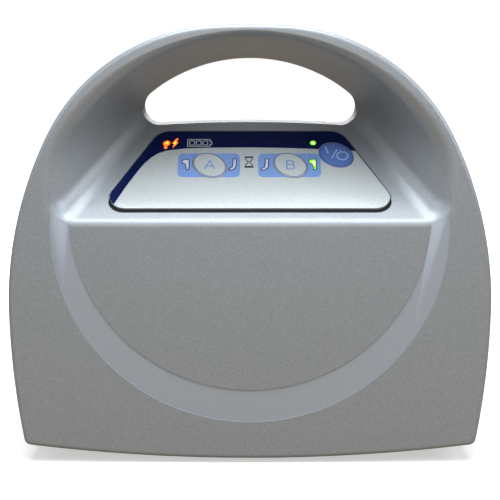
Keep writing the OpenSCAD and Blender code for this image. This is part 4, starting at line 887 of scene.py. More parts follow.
def rear_rings(housing, sizes):
    """Rings round the rear housing, from the joint over the back to the hand opening, then back inside."""
    cover, edge, draft = sizes.cover_depth, sizes.back_edge, sizes.back_draft
    skin = sizes.skin + 0.8
    full_rise = sizes.body_depth - edge - cover
    ring, outline_ring, opening_ring = housing.ring, housing.outline_ring, housing.opening_ring

    def wall_top(s):
        """Depth at which the side wall runs into the rounding, and its inset there."""
        depth = min(back_profile(sizes, housing.outline(s, inset).z) for inset in (draft, draft + edge)) - edge
        return depth, draft * (depth - cover) / full_rise

    def wall_at(s, share):
        depth, inset = wall_top(s)
        return at_depth(housing.outline(s, inset * share), cover + (depth - cover) * share)

    def round_at(s, angle):
        depth, inset = wall_top(s)
        p = housing.outline(s, inset + edge * (1 - cos(radians(angle))))
        return at_depth(p, max(depth, back_profile(sizes, p.z) - edge * (1 - sin(radians(angle)))))

    def back_edge_at(s):
        return housing.outline(s, wall_top(s)[1] + edge)

    shares = {s: back_shares(sizes, back_edge_at(s).z, housing.opening(s, LIP).z) for s in STATIONS}

    def back_at(s, i, sink=0.0):
        p = back_edge_at(s).lerp(housing.opening(s, LIP), shares[s][i])
        return at_depth(p, back_profile(sizes, p.z) - sink)

    def lip_at(s, angle):
        p = housing.opening(s, LIP * (1 - sin(radians(angle))))
        return at_depth(p, back_profile(sizes, p.z) - LIP * (1 - cos(radians(angle))))

    def inside_at(s):
        depth, inset = wall_top(s)
        return at_depth(housing.outline(s, inset + skin), depth - 1)

    joint, count = cover + JOINT_GAP, len(shares[0])
    rings = [outline_ring(JOINT_EDGE, joint), outline_ring(0, joint + JOINT_EDGE)]
    rings += [ring(lambda s: wall_at(s, share)) for share in (0.05, 0.25, 0.5, 0.75, 0.96, 1.0)]
    rings += [ring(lambda s: round_at(s, angle)) for angle in (12, 24, 36, 48, 60, 72, 81, 90)]
    rings += [ring(lambda s: back_at(s, i)) for i in range(count)]
    rings += [ring(lambda s: lip_at(s, angle)) for angle in (15, 30, 45, 60, 75, 90)]
    rings += [opening_ring(0, cover + 3), opening_ring(0, joint), opening_ring(skin, joint)]
    rings.append(opening_ring(skin, sizes.handle_depth - skin - 1))
    rings += [ring(lambda s: back_at(s, i, skin * 1.5)) for i in range(count - 3, -1, -3)]
    return rings + [ring(inside_at), outline_ring(skin, joint)]


def screw_places(sizes):
    """Middle of each screw well, with the depth of its seat and of the back there."""
    back, handle = sizes.body_depth, sizes.handle_depth
    wells = (
        (LOW_SCREW, SEAT_DEPTH, back),
        (HIGH_SCREW, SEAT_DEPTH, back),
        (HANDLE_SCREW, HANDLE_SEAT_DEPTH, handle),
    )
    return [((side * x, z), seat, deep) for side in (-1, 1) for (x, z), seat, deep in wells]


def rear_cutters(sizes):
    back = sizes.body_depth
    tools = [
        cutter("well", bar(c, WELL_RADIUS + WELL_WALL - 0.05, seat - SCREW_HEAD_THICK, deep + 2))
        for c, seat, deep in screw_places(sizes)
    ]
    holes = [(box_outline(c, 2 * NIPPLE_PITCH + 6.6, 6.6, 3.0), 6) for c in PORTS.values()]
    holes.append((box_outline(INLET, SLEEVE_WIDE + 0.6, SLEEVE_HIGH + 0.6), 6))
    holes.append((box_outline(VENT, VENT_WIDE + 0.6, VENT_HIGH + 0.6, 2.0), 1.5))
    holes.append((box_outline(VENT, VENT_WIDE - 4, VENT_HIGH - 4), 6))
    tools += [cutter("hole", prism_between(outline, back - deep, back + 1)) for outline, deep in holes]
    door = box_outline((0, (DOOR_FROM + DOOR_TO) / 2), 2 * DOOR_HALF, DOOR_TO - DOOR_FROM)
    return tools + [cutter("door_hole", solid_between([[(x, y, z) for x, y in door] for z in (-1, 9)]))]


def screw_well(centre, seat, deep):
    """The tube that leads to a screw, closed round its shank at the bottom."""
    outer, inner, low, high = WELL_RADIUS + WELL_WALL, SCREW_SHANK + 0.1, seat - SCREW_HEAD_THICK, deep - 0.02
    return turned([
        (outer, high), (outer, low - WELL_FLOOR), (inner, low - WELL_FLOOR), (inner, low),
        (WELL_RADIUS, low), (WELL_RADIUS, high - 0.5), (WELL_RADIUS + 0.5, high),
    ], centre, hollow=True)


def hook_outline():
    """The hook from the side: its plate with a lip below, then round the barrel."""
    front, back, low = HOOK_FRONT, HOOK_FRONT + HOOK_THICK, HOOK_LOW - HOOK_THICK / 2
    steps = 5
    corners = [
        (front, low, 0.5), (back + HOOK_LIP, low, 0.8), (back + HOOK_LIP, low + HOOK_THICK, 0.8),
        (back, low + HOOK_THICK, 1.2), (back, PIN_HEIGHT + BARREL, HOOK_THICK - 1),
    ]
    behind_barrel = [(PIN_DEPTH, PIN_HEIGHT + BARREL, 0.1), (front, PIN_HEIGHT - BARREL, 0.1)]
    plate = rounded_corners(corners + behind_barrel, steps)[:len(corners) * (steps + 1)]
    turn = [radians(a) for a in range(90, 301, 10)]
    return plate + [(PIN_DEPTH + BARREL * cos(a), PIN_HEIGHT + BARREL * sin(a)) for a in turn]


def nipple(centre, back):
    """A barbed hose nipple with its bore."""
    foot, end = back + FLANGE_OUT, back + FLANGE_OUT + NIPPLE_LENGTH
    profile = [(NIPPLE_RADIUS, foot - 0.5), (NIPPLE_RADIUS, foot + 1.2)]
    for k in range(3):
        start = foot + 1.3 + 2.1 * k
        profile += [(2.15, start), (NIPPLE_RADIUS, start + 0.5), (2.2, start + 2.0)]
    profile += [
        (2.0, end - 0.1), (1.8, end),
        (BORE_RADIUS + 0.05, end), (BORE_RADIUS, end - 0.1), (BORE_RADIUS, foot - 0.5),
    ]
    return turned(profile, centre, hollow=True, steps=32)


# ------------------------------------------------------------------ finishes

def feed(tree, node, inputs):
    """Set a node's inputs to numbers or colours, or link them to other nodes' outputs."""
    for key, value in inputs.items():
        if isinstance(value, bpy.types.NodeSocket):
            tree.links.new(value, node.inputs[key])
        else:
            node.inputs[key].default_value = (*value[:3], 1.0) if isinstance(value, tuple) else value


def shader_node(tree, kind, inputs, **settings):
    node = tree.nodes.new("ShaderNode" + kind)
    for key, value in settings.items():
        setattr(node, key, value)
    feed(tree, node, inputs)
    return node


def tree_of(name):
    material = bpy.data.materials.new(name)
    material.use_nodes = True
    tree = material.node_tree
    tree.nodes.clear()
    shader = shader_node(tree, "BsdfPrincipled", {})
    shader_node(tree, "OutputMaterial", {"Surface": shader.outputs["BSDF"]})
    place = shader_node(tree, "TexCoord", {}).outputs["Object"]
    return material, tree, shader, place


def math_node(tree, operation, *values, clamp=False):
    return shader_node(tree, "Math", dict(enumerate(values)), operation=operation, use_clamp=clamp).outputs[0]


def noise(tree, place, size, detail=2.0, rough=0.5):
    """Soft noise whose features are about this many metres across."""
    inputs = {"Scale": 1 / size, "Detail": detail, "Roughness": rough, "Vector": place}
    return shader_node(tree, "TexNoise", inputs).outputs["Fac"]


def spread(tree, value, low, high, to_low, to_high):
    inputs = {"Value": value, "From Min": low, "From Max": high, "To Min": to_low, "To Max": to_high}
    return shader_node(tree, "MapRange", inputs).outputs["Result"]


def blend(tree, share, a, b):
    """One colour where share is 0, the other where it is 1."""
    return shader_node(tree, "Mix", {0: share, 6: a, 7: b}, data_type="RGBA").outputs[2]


def bump(tree, shader, height, distance, strength=1.0):
    raised_by = shader_node(tree, "Bump", {"Strength": strength, "Distance": distance, "Height": height})
    feed(tree, shader, {"Normal": raised_by.outputs["Normal"]})


def shade(base, factor):
    return tuple(min(1.0, c * factor) for c in base)


def mottled(tree, pattern, low, high, base, variety):
    """A colour that wanders between a darker and a lighter shade of its base."""
    share = spread(tree, pattern, low, high, 0, 1)
    return blend(tree, share, shade(base, 1 - variety), shade(base, 1 + variety))


def axes_of(tree, place):
    return shader_node(tree, "SeparateXYZ", {0: place}).outputs


def waves_across(tree, place, pitch):
    """Waves along x, one for each pitch, in metres."""
    return math_node(tree, "SINE", math_node(tree, "MULTIPLY", axes_of(tree, place)[0], 2 * pi / pitch))


def moulded_plastic(name, base, grain=0.0006, depth=0.00001, rough=0.45, variety=0.08, metallic=0.0):
    """Plastic with a fine spark-eroded grain and slight changes of tone."""
    material, tree, shader, place = tree_of(name)
    fine = noise(tree, place, grain, 3.0, 0.6)
    broad = noise(tree, place, 0.03)
    tone = mottled(tree, fine, 0.35, 0.65, base, variety)
    feed(tree, shader, {
        "Base Color": blend(tree, spread(tree, broad, 0.3, 0.7, 0, 0.35), tone, shade(base, 1 - variety / 2)),
        "Roughness": spread(tree, fine, 0.3, 0.7, rough - 0.05, rough + 0.07),
        "Metallic": metallic,
    })
    bump(tree, shader, fine, depth)
    return material


BAND_EDGE_SOFT = 0.12               # in millimetres, half the width of the band's printed edge
BAND_FADE_LOW, BAND_FADE_HIGH = 100.0, 117.5
BAND_REACH_NEAR, BAND_REACH_FAR = 1.2, 4.5


def silver_plastic(colours):
    """The front cover: metallic silver plastic with fine sparks, and a smoother, bluer band on the face."""
    material, tree, shader, place = tree_of("silver_plastic")
    silver, band = tuple(colours.silver), tuple(colours.band)
    x, y, z = axes_of(tree, place)

    def inside(height, radius, within, beyond):
        """One value within a circle on the face and another beyond it."""
        up = math_node(tree, "SUBTRACT", z, height * MM)
        squares = [math_node(tree, "MULTIPLY", side, side) for side in (x, up)]
        away = math_node(tree, "SQRT", math_node(tree, "ADD", *squares))
        low, high = (radius * MM + side * BAND_EDGE_SOFT * MM for side in (-1, 1))
        return spread(tree, away, low, high, within, beyond)
    mask = inside(Housing.band_height, Housing.band_radius, 1, 0)
    for share in (
        inside(Housing.band_inner_height, Housing.band_inner_radius, 0, 1),
        spread(tree, z, BAND_FADE_LOW * MM, BAND_FADE_HIGH * MM, 1, 0),
        spread(tree, y, (FRONT + BAND_REACH_NEAR) * MM, (FRONT + BAND_REACH_FAR) * MM, 1, 0),
    ):
        mask = math_node(tree, "MULTIPLY", mask, share)
    sparks = noise(tree, place, 0.00045, 2.0, 0.6)
    mottle = noise(tree, place, 0.0016)
    plain = mottled(tree, sparks, 0.33, 0.67, silver, 0.14)
    plain = blend(tree, spread(tree, mottle, 0.3, 0.7, 0, 0.4), plain, shade(silver, 0.93))
    rough = spread(tree, sparks, 0.3, 0.7, 0.36, 0.48)
    feed(tree, shader, {
        "Base Color": blend(tree, mask, plain, mottled(tree, sparks, 0.33, 0.67, band, 0.03)),
        "Roughness": math_node(tree, "SUBTRACT", rough, math_node(tree, "MULTIPLY", mask, 0.05)),
        "Metallic": 0.35,
    })
    grain_left = math_node(tree, "SUBTRACT", 1.0, math_node(tree, "MULTIPLY", mask, 0.85))
    bump(tree, shader, math_node(tree, "MULTIPLY", sparks, grain_left), 0.000035, 0.8)
    return material


def printed_film(name, base, glow=0.0, shine=0.5):
    """Film printed on its back: a faint orange peel, satin gloss."""
    material, tree, shader, place = tree_of(name)
    fine = noise(tree, place, 0.0009)
    feed(tree, shader, {
        "Base Color": mottled(tree, fine, 0.35, 0.65, base, 0.01),
        "Roughness": spread(tree, fine, 0.3, 0.7, 0.26, 0.34),
        "Specular IOR Level": shine,
    })
    bump(tree, shader, fine, 0.000004)
    if glow:
        feed(tree, shader, {"Emission Color": base, "Emission Strength": glow})
    return material


def metal(name, base, rough=0.3, streak=0.0004, variety=0.1):
    material, tree, shader, place = tree_of(name)
    fine = noise(tree, place, streak, 3.0)
    feed(tree, shader, {
        "Base Color": mottled(tree, fine, 0.3, 0.7, base, variety),
        "Roughness": spread(tree, fine, 0.3, 0.7, rough - 0.06, rough + 0.08),
        "Metallic": 1.0,
    })
    bump(tree, shader, fine, 0.000006)
    return material


def ribbed(name, base):
    """A flat cable: fine ribs side by side, with painted shade darkening the grooves between them."""
    material, tree, shader, place = tree_of(name)
    wires = waves_across(tree, place, 0.00127)
    # painted shade: the colour darkens where the ribs' bump dips, in the grooves between them
    tone = blend(tree, spread(tree, wires, -1, 1, 0, 1), shade(base, 0.72), base)
    feed(tree, shader, {"Base Color": tone, "Roughness": 0.45})
    bump(tree, shader, wires, 0.0002)
    return material


def wound(name, base):
    """Enamelled wire wound round and round, the turns side by side, with painted shade between the turns."""
    material, tree, shader, place = tree_of(name)
    turns = waves_across(tree, place, 0.0005)
    patch = noise(tree, place, 0.004)
    # painted shade: the colour darkens where the turns' bump dips, between the turns; the patches vary at
    # random
    tone = blend(tree, spread(tree, turns, -1, 1, 0, 1), shade(base, 0.6), base)
    tone = blend(tree, spread(tree, patch, 0.4, 0.7, 0, 0.5), tone, shade(base, 0.8))
    feed(tree, shader, {"Base Color": tone, "Metallic": 0.85, "Roughness": 0.3})
    bump(tree, shader, turns, 0.0001)
    return material


# Each finish: its maker, its material's name, a colour of the panel or on the screen, and its settings
FINISHES = {
    "rear": (moulded_plastic, "rear_plastic", "rear_grey", 0.0005, 0.00003, 0.5, 0.10, 0.25),
    "label": (printed_film, "label_film", "label_white"),
    "navy": (printed_film, "navy_print", "navy", 0.0, 0.12),
    "pale_blue": (printed_film, "pale_blue_print", "pale_blue"),
    "key_blue": (printed_film, "key_blue_film", "key_blue"),
    "print_blue": (printed_film, "letter_print", "print_blue"),
    "print_dark": (printed_film, "symbol_print", "print_dark"),
    "key_edge": (printed_film, "key_edge_print", (58, 88, 156)),
    "key_print": (printed_film, "key_marks_print", (150, 182, 232)),
    "port_letter": (printed_film, "port_letter", (214, 216, 218)),
    "print_light": (printed_film, "light_print", (176, 182, 196)),
    "icon_fill": (printed_film, "symbol_fill", (196, 200, 218)),
    "lit_orange": (printed_film, "lit_orange", (255, 104, 24), 1.6),
    "lit_yellow": (printed_film, "lit_yellow", (255, 190, 60), 1.8),
    "lit_green": (printed_film, "lit_green", (110, 235, 20), 1.3),
    "lit_core": (printed_film, "lit_core", (225, 255, 170), 1.6),
    "rubber": (moulded_plastic, "dark_rubber", (38, 38, 40), 0.0012, 0.00003, 0.75, 0.15),
    # painted shade: a near-black sheet in the pocket's gap round the label stands in for the shadow there
    "gasket": (moulded_plastic, "label_gasket", (8, 8, 11), 0.001, 0.00001, 0.95, 0.2),
    "foam": (moulded_plastic, "filter_foam", (52, 52, 54), 0.0014, 0.0003, 0.95, 0.45),
    "black": (moulded_plastic, "black_plastic", (40, 41, 44), 0.0006, 0.00002, 0.42, 0.12),
    "natural": (moulded_plastic, "natural_plastic", (226, 222, 206), 0.0016, 0.00001, 0.4, 0.04),
    "silicone": (moulded_plastic, "silicone_hose", (214, 214, 208), 0.002, 0.00001, 0.35, 0.03),
    "clear": (moulded_plastic, "frosted_plastic", (226, 232, 236), 0.001, 0.00001, 0.3, 0.02),
    "board": (moulded_plastic, "circuit_board", (38, 112, 70), 0.0011, 0.00002, 0.35, 0.18),
    "battery": (moulded_plastic, "battery_wrap", (44, 76, 140), 0.004, 0.00003, 0.3, 0.08),
    "sheath": (moulded_plastic, "wire_sheath", (48, 48, 52), 0.0008, 0.00001, 0.45, 0.1),
    "ribbon": (ribbed, "ribbon_sheath", (190, 190, 186)),
    "steel": (metal, "zinc_steel", (198, 200, 204), 0.32),
    "ground": (metal, "ground_steel", (176, 178, 184), 0.22, 0.0002),
    "casting": (metal, "cast_aluminium", (186, 188, 190), 0.48, 0.0014, 0.12),
    "copper": (wound, "copper_winding", (196, 116, 66)),
}


class Finishes:
    """Every finish of the pump, made once and looked up by name."""
    made = {}

    @classmethod
    def make(cls, colours):
        cls.made["silver"] = silver_plastic(colours)
        for finish, (maker, name, source, *settings) in FINISHES.items():
            base = tuple(getattr(colours, source)) if isinstance(source, str) else from_srgb(*source)
            cls.made[finish] = maker(name, base, *settings)


# Slot names for the finished pieces, everything printed falling back to the label's; finish_piece looks one up
# but gives it to nothing
FINISH_SLOTS = {
    "silver": "front_shell", "rear": "rear_shell", "black": "black_plastic", "rubber": "dark_rubber",
    "steel": "zinc_steel",
}
NODE_FINISH = {
    "silver": ("front_cover",),
    "rear": ("rear_housing", "battery_door", "bed_hook", "tubing_port_a", "tubing_port_b", "intake_cover"),
    "label": ("overlay_label", "key_a", "key_b"),
    "key_blue": ("key_power",),
    "clear": ("light_guides",),
    "steel": (
        "housing_screws", "key_board_screws", "inlet_screws", "door_screws", "manifold_screws", "board_screws",
        "chassis_screws", "chassis", "hook_pin", "hook_springs", *(f"valve_plunger_{i}" for i in range(1, 6)),
    ),
    "ground": ("armature",),
    "rubber": ("rubber_feet", "hook_pads", "isolators", "diaphragms"),
    "foam": ("intake_filter",),
    "black": (
        "power_inlet", "silencer", "pressure_sensor", "alarm_buzzer", *(f"valve_coil_{i}" for i in range(1, 6)),
    ),
    "natural": ("port_block", "valve_manifold", "pump_head_left", "pump_head_right"),
    "silicone": ("port_hoses", "bridge_hose", "pump_hose", "manifold_hose"),
    "casting": ("compressor_casing",),
    "copper": ("drive_coil", "transformer"),
    "board": ("key_board", "control_board", "power_board"),
    "battery": ("battery_pack",),
    "sheath": ("battery_lead", "mains_lead"),
    "ribbon": ("ribbon_cable",),
}


# ------------------------------------------------------------------ the studio

def seen_directly(tree):
    """1 for rays from the camera and for those seen through glass, 0 for the rest."""
    path = shader_node(tree, "LightPath", {}).outputs
    return math_node(tree, "ADD", path["Is Camera Ray"], path["Is Transmission Ray"], clamp=True)


def studio_floor():
    """A pale floor that looks white away from the object and keeps its shadow."""
    material, tree, shader, place = tree_of("studio_floor")
    away = shader_node(tree, "VectorMath", {0: place}, operation="LENGTH").outputs["Value"]
    glow = spread(tree, away, 0.12, 0.55, 0.52, 1.0)
    lit = shader_node(tree, "Emission", {"Color": (1.0, 1.0, 1.0), "Strength": glow}).outputs[0]
    feed(tree, shader, {"Base Color": (0.62, 0.62, 0.61), "Roughness": 0.95, "Specular IOR Level": 0.0})
    pale = shader_node(tree, "AddShader", {0: shader.outputs[0], 1: lit}).outputs[0]
    dim = shader_node(tree, "BsdfDiffuse", {"Color": (0.31, 0.24, 0.17)}).outputs[0]
    choice = shader_node(tree, "MixShader", {0: seen_directly(tree), 1: dim, 2: pale}).outputs[0]
    out = next(n for n in tree.nodes if n.type == "OUTPUT_MATERIAL")
    feed(tree, out, {"Surface": choice})
    return material


def studio_world():
    """White where it is seen, and a weak even fill for the object."""
    world = bpy.data.worlds.new("studio")
    world.use_nodes = True
    tree = world.node_tree
    gloss = shader_node(tree, "LightPath", {}).outputs["Is Glossy Ray"]
    fill = spread(tree, gloss, 0, 1, 0.07, 0.25)
    light = math_node(tree, "MAXIMUM", seen_directly(tree), fill)
    feed(tree, tree.nodes["Background"], {"Color": (1.0, 1.0, 1.0), "Strength": light})
    return world


MIDDLE, HANDLE = (0.0, -0.03, 0.10), (0.0, 0.0, 0.15)
# Each area light, in metres and watts: its place, what it aims at, its size, its power and its tint
LIGHTS = {
    "key_light": ((0.0, -0.26, 0.66), MIDDLE, (0.55, 0.30), 3.75, (0.93, 0.98, 1.0)),
    "top_light": ((0.0, -0.10, 0.70), MIDDLE, (0.50, 0.30), 1.7, (0.97, 0.99, 1.0)),
    "upper_light": ((0.0, -0.40, 0.50), MIDDLE, (0.45, 0.25), 0.7, (0.97, 0.99, 1.0)),
    "front_light": ((0.0, -0.75, 0.30), MIDDLE, (0.50, 0.40), 0.85, (1.0, 0.99, 0.97)),
    "left_light": ((-0.55, -0.25, 0.40), MIDDLE, (0.30, 0.30), 0.7, (0.97, 0.99, 1.0)),
    "right_light": ((0.55, -0.25, 0.40), MIDDLE, (0.30, 0.30), 1.5, (0.97, 0.99, 1.0)),
    "back_light": ((0.0, 0.35, 0.60), HANDLE, (0.50, 0.20), 1.4, (1.0, 1.0, 1.0)),
    "rear_light": ((0.0, 0.80, 0.40), MIDDLE, (0.60, 0.40), 3.2, (1.0, 0.99, 0.98)),
}
FLOOR_REACH = 4.0
CAMERA_AWAY, CAMERA_HEIGHT, CAMERA_DIP, CAMERA_LENS = 0.480, 0.180, 10.561, 87.25


# ------------------------------------------------------------------ operators

def sizes_and_housing(context):
    sizes = context.scene.pump_sizes
    return sizes, Housing(sizes)


class OBJECT_OT_pump_finishes(bpy.types.Operator):
    """Make the finishes and give each carried part of the frame its own"""
    bl_idname = "object.pump_finishes"
    bl_label = "Finishes"

    def execute(self, context):
        Finishes.make(context.scene.pump_colours)
        for finish, nodes in NODE_FINISH.items():
            for node in nodes:
                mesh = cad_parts[node].data
                mesh.materials.clear()
                mesh.materials.append(Finishes.made[finish])
        return {"FINISHED"}


class OBJECT_OT_pump_front_cover(bpy.types.Operator):
    """Front cover with its scoop, the hand opening, the recess for the label and the band"""
    bl_idname = "object.pump_front_cover"
    bl_label = "Front cover"

    def execute(self, context):
        sizes, housing = sizes_and_housing(context)
        shell = plain_mesh("front_shell", *join_rings(front_rings(housing, sizes)))
        shell = carve(shell, front_cutters(housing, sizes))
        finish_piece("front_shell", shell, "silver", smooth=28, node="front_cover")
        return {"FINISHED"}


class OBJECT_OT_pump_rear_housing(bpy.types.Operator):
    """Rear housing with the back of the handle, its screw wells and the ears and stop of the hook"""
    bl_idname = "object.pump_rear_housing"
    bl_label = "Rear housing"

    def execute(self, context):
        sizes, housing = sizes_and_housing(context)
        shell = plain_mesh("rear_shell", *join_rings(rear_rings(housing, sizes)))
        finish_piece("rear_shell", carve(shell, rear_cutters(sizes)), "rear", node="rear_housing")
        wells = merged(screw_well(*place) for place in screw_places(sizes))
        add_piece("screw_wells", wells, "rear", smooth=40)
        radius, foot, near = BARREL + 0.6, sizes.body_depth - 0.4, HOOK_HALF + 0.5
        turn = [radians(a) for a in range(90, -91, -10)]
        outline = [(PIN_DEPTH + radius * cos(a), PIN_HEIGHT + radius * sin(a)) for a in turn]
        outline += [(foot, PIN_HEIGHT - radius - 2.5), (foot, PIN_HEIGHT + radius)]
        for side, name in ((-1, "hook_ear_left"), (1, "hook_ear_right")):
            ear = prism_across(outline, side * near, side * (near + EAR_THICK))
            finish_piece(name, softened(name, ear, 0.5), "rear")
        stop = box_outline((0, PIN_HEIGHT - BARREL - 4), 12, 5, 0.6)
        stop = softened("hook_stop", prism_between(stop, foot, HOOK_FRONT - 0.1), 0.3)
        finish_piece("hook_stop", stop, "rear")
        return {"FINISHED"}


class OBJECT_OT_pump_bed_hook(bpy.types.Operator):
    """Bed hook with its stiffening ribs and its rubber pads"""
    bl_idname = "object.pump_bed_hook"
    bl_label = "Bed hook"

    def execute(self, context):
        pin, half, face = (PIN_DEPTH, PIN_HEIGHT), HOOK_HALF, HOOK_FRONT + HOOK_THICK
        tools = [cutter("pin_bore", bar(pin, PIN_BORE, -half - 1, half + 1, "x"))]
        for low, high in ((-half - 1, -half + SPRING_LONG), (half - SPRING_LONG, half + 1)):
            tools.append(cutter("spring_pocket", bar(pin, SPRING_BORE, low, high, "x")))
        plate = softened("bed_hook", prism_across(hook_outline(), -half, half), 0.5, angle=40)
        finish_piece("bed_hook_plate", carve(plate, tools), "rear", "hook", node="bed_hook")
        low = HOOK_LOW + 4
        ribs = []
        for x in RIB_PLACES:
            outline = box_outline((x, (low + RIB_TOP) / 2), RIB_WIDE, RIB_TOP - low)
            ribs.append(softened("rib", prism_between(outline, face - 0.3, face + RIB_OUT), 0.4))
        finish_piece("hook_ribs", joined_mesh("hook_ribs", ribs), "rear", "hook")
        pads = []
        for side in (-1, 1):
            x, z = side * (half - 4 - PAD_WIDE / 2), HOOK_LOW + 6 + PAD_HIGH / 2
            base = box_outline((x, z), PAD_WIDE, PAD_HIGH, 1.5)
            pads.append(plain_mesh("pad", *prism_between(base, HOOK_FRONT - PAD_THICK, HOOK_FRONT)))
            for k in range(PAD_RIBS):
                rib = box_outline((x, z + (k - (PAD_RIBS - 1) / 2) * PAD_RIB_PITCH), PAD_WIDE - 1.4, 2.4)
                pads.append(softened("pad_rib", prism_between(rib, HOOK_FRONT - 2.0, HOOK_FRONT - 1.2), 0.35))
        finish_piece("hook_pad_faces", joined_mesh("hook_pads", pads), "rubber", "hook", node="hook_pads")
        return {"FINISHED"}


class OBJECT_OT_pump_ports(bpy.types.Operator):
    """Two tubing ports, each with three barbed nipples and its letter"""
    bl_idname = "object.pump_ports"
    bl_label = "Tubing ports"

    def execute(self, context):
        back = context.scene.pump_sizes.body_depth
        for letter, centre in PORTS.items():
            flange = box_outline(centre, PORT_WIDE, PORT_HIGH, FLANGE_CORNER)
            parts = [softened("flange", prism_between(flange, back, back + FLANGE_OUT), 0.5)]
            for k in (-1, 0, 1):
                place = (centre[0] + k * NIPPLE_PITCH, centre[1])
                parts.append(plain_mesh("nipple", *nipple(place, back)))
                parts.append(plain_mesh("stub", *bar(place, STUB_RADIUS, back - 10, back + 0.2)))
            node = "tubing_port_" + letter
            finish_piece("port_" + letter, joined_mesh(node, parts), "rear", node=node)
            lines = LETTER_A if letter == "a" else letter_b()
            lines = [moved(line, (0, PORT_LETTER_UP), PORT_LETTER_SIZE) for line in lines]
            mark = raised_line(BackFace(*centre, back), lines, PORT_LINE, 0, PORT_LETTER_THICK)
            add_piece("port_letter_" + letter, mark, "port_letter", smooth=40, slot="rear_shell")
        return {"FINISHED"}


class OBJECT_OT_pump_mains_inlet(bpy.types.Operator):
    """Mains inlet with its three blades"""
    bl_idname = "object.pump_mains_inlet"
    bl_label = "Mains inlet"

    def execute(self, context):
        back = context.scene.pump_sizes.body_depth
        face = back + FLANGE_OUT
        floor = face - MOUTH_DEEP
        flange = prism_between(box_outline(INLET, INLET_WIDE, INLET_HIGH, FLANGE_CORNER), back, face)
        sleeve = prism_between(box_outline(INLET, SLEEVE_WIDE, SLEEVE_HIGH), back - SLEEVE_LONG, back + 0.2)
        parts = []
        for block, tight, low in (
            (softened("flange", flange, 0.5), 0.0, back - 9),
            (plain_mesh("sleeve", *sleeve), 0.1, floor),
        ):
            mouth = box_outline(INLET, MOUTH_WIDE - tight, MOUTH_HIGH - tight, FLANGE_CORNER)
            parts.append(carve(block, [cutter("mouth", prism_between(mouth, low, face + 1))]))
        finish_piece("inlet_body", joined_mesh("power_inlet", parts), "black", node="power_inlet")
        blades = []
        for x, z in BLADES:
            blade = box_outline((INLET[0] + x, INLET[1] + z), BLADE_WIDE, BLADE_HIGH)
            blades.append(softened("blade", prism_between(blade, floor - 0.1, floor + BLADE_LENGTH), 0.4))
        finish_piece("inlet_blades", joined_mesh("inlet_blades", blades), "steel")
        return {"FINISHED"}


class OBJECT_OT_pump_intake(bpy.types.Operator):
    """Intake cover: a frame with a row of slats"""
    bl_idname = "object.pump_intake"
    bl_label = "Air intake"

    def execute(self, context):
        back = context.scene.pump_sizes.body_depth
        near, far = back - 1.5, back + 1.0
        plate = prism_between(box_outline(VENT, VENT_WIDE, VENT_HIGH, 2.0), near, far)
        mouth = box_outline(VENT, VENT_WIDE - 8, SLAT_COUNT * SLAT_PITCH + SLAT_THICK + 0.1, 0.8)
        mouth = cutter("mouth", prism_between(mouth, near - 1, far + 1))
        plate = carve(softened("plate", plate, 0.5), [mouth])
        slat = box_outline((0, 0), VENT_WIDE - 7.6, SLAT_THICK)
        slat = softened("slat", prism_between(slat, 0.1 - FRONT, far - near - 0.3 - FRONT), 0.45)
        slats = repeated("slats", repeater("row_of_slats", True), slat, [], {
            "Count": SLAT_COUNT,
            "Start": to_metres((VENT[0], near, VENT[1] - (SLAT_COUNT - 1) / 2 * SLAT_PITCH)),
            "Step": (0, 0, SLAT_PITCH * MM),
            "Finish": Finishes.made["rear"],
        })
        finish_piece("intake_grille", joined_mesh("intake", [plate, slats]), "rear", node="intake_cover")
        return {"FINISHED"}


class OBJECT_OT_pump_screws(bpy.types.Operator):
    """Screws that are seen from outside, each kind repeated at its places"""
    bl_idname = "object.pump_screws"
    bl_label = "Screws"

    def execute(self, context):
        sizes = context.scene.pump_sizes
        group = repeater("screws_at_points", False)
        wells = screw_places(sizes)
        lows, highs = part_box("door_screws")
        door_depth, door_seat = (lows[1] + highs[1]) / 2 / MM - FRONT, lows[2] / MM + DOOR_SCREW[2]
        upright, from_below = (0, 0, 0), (radians(-90), 0, 0)
        kinds = {"housing_screws": [], "inlet_screws": [], "door_screws": []}
        for seat_depth, long in ((SEAT_DEPTH, LONG_SCREW), (HANDLE_SEAT_DEPTH, SHORT_SCREW)):
            seats = [(x, seat - SCREW_HEAD_THICK, z) for (x, z), seat, deep in wells if seat == seat_depth]
            shape = (SCREW_SHANK, SCREW_HEAD, SCREW_HEAD_THICK, long)
            kinds["housing_screws"].append((seats, shape, upright))
        for side in (-1, 1):
            place = (INLET[0] + side * INLET_SCREW_REACH, sizes.body_depth + FLANGE_OUT, INLET[1])
            kinds["inlet_screws"].append(([place], INLET_SCREW, upright))
            place = (side * DOOR_SCREW_REACH, door_depth, door_seat)
            kinds["door_screws"].append(([place], DOOR_SCREW, from_below))
        steel = Finishes.made["steel"]
        for node, sets in kinds.items():
            meshes = [
                repeated(node, group, screw_mesh(node, *shape), places, {"Turn": turn, "Finish": steel})
                for places, shape, turn in sets
            ]
            finish_piece(node + "_seen", joined_mesh(node, meshes), "steel", node=node)
        return {"FINISHED"}


class OBJECT_OT_pump_feet(bpy.types.Operator):
    """Four rubber feet"""
    bl_idname = "object.pump_feet"
    bl_label = "Feet"

    def execute(self, context):
        lows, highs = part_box("rubber_feet")
        across, top = highs[0] / MM - FOOT_RADIUS, highs[2] / MM
        depths = lows[1] / MM - FRONT + FOOT_RADIUS, highs[1] / MM - FRONT - FOOT_RADIUS
        profile = [(2.2, 0.5), (2.8, 0.0), (5.0, 0.0), (5.7, 0.25), (FOOT_RADIUS, 0.9), (FOOT_RADIUS, top)]
        feet = merged(turned(profile, (side * across, depth), "z") for side in (-1, 1) for depth in depths)
        add_piece("feet", feet, "rubber", smooth=40, node="rubber_feet")
        return {"FINISHED"}


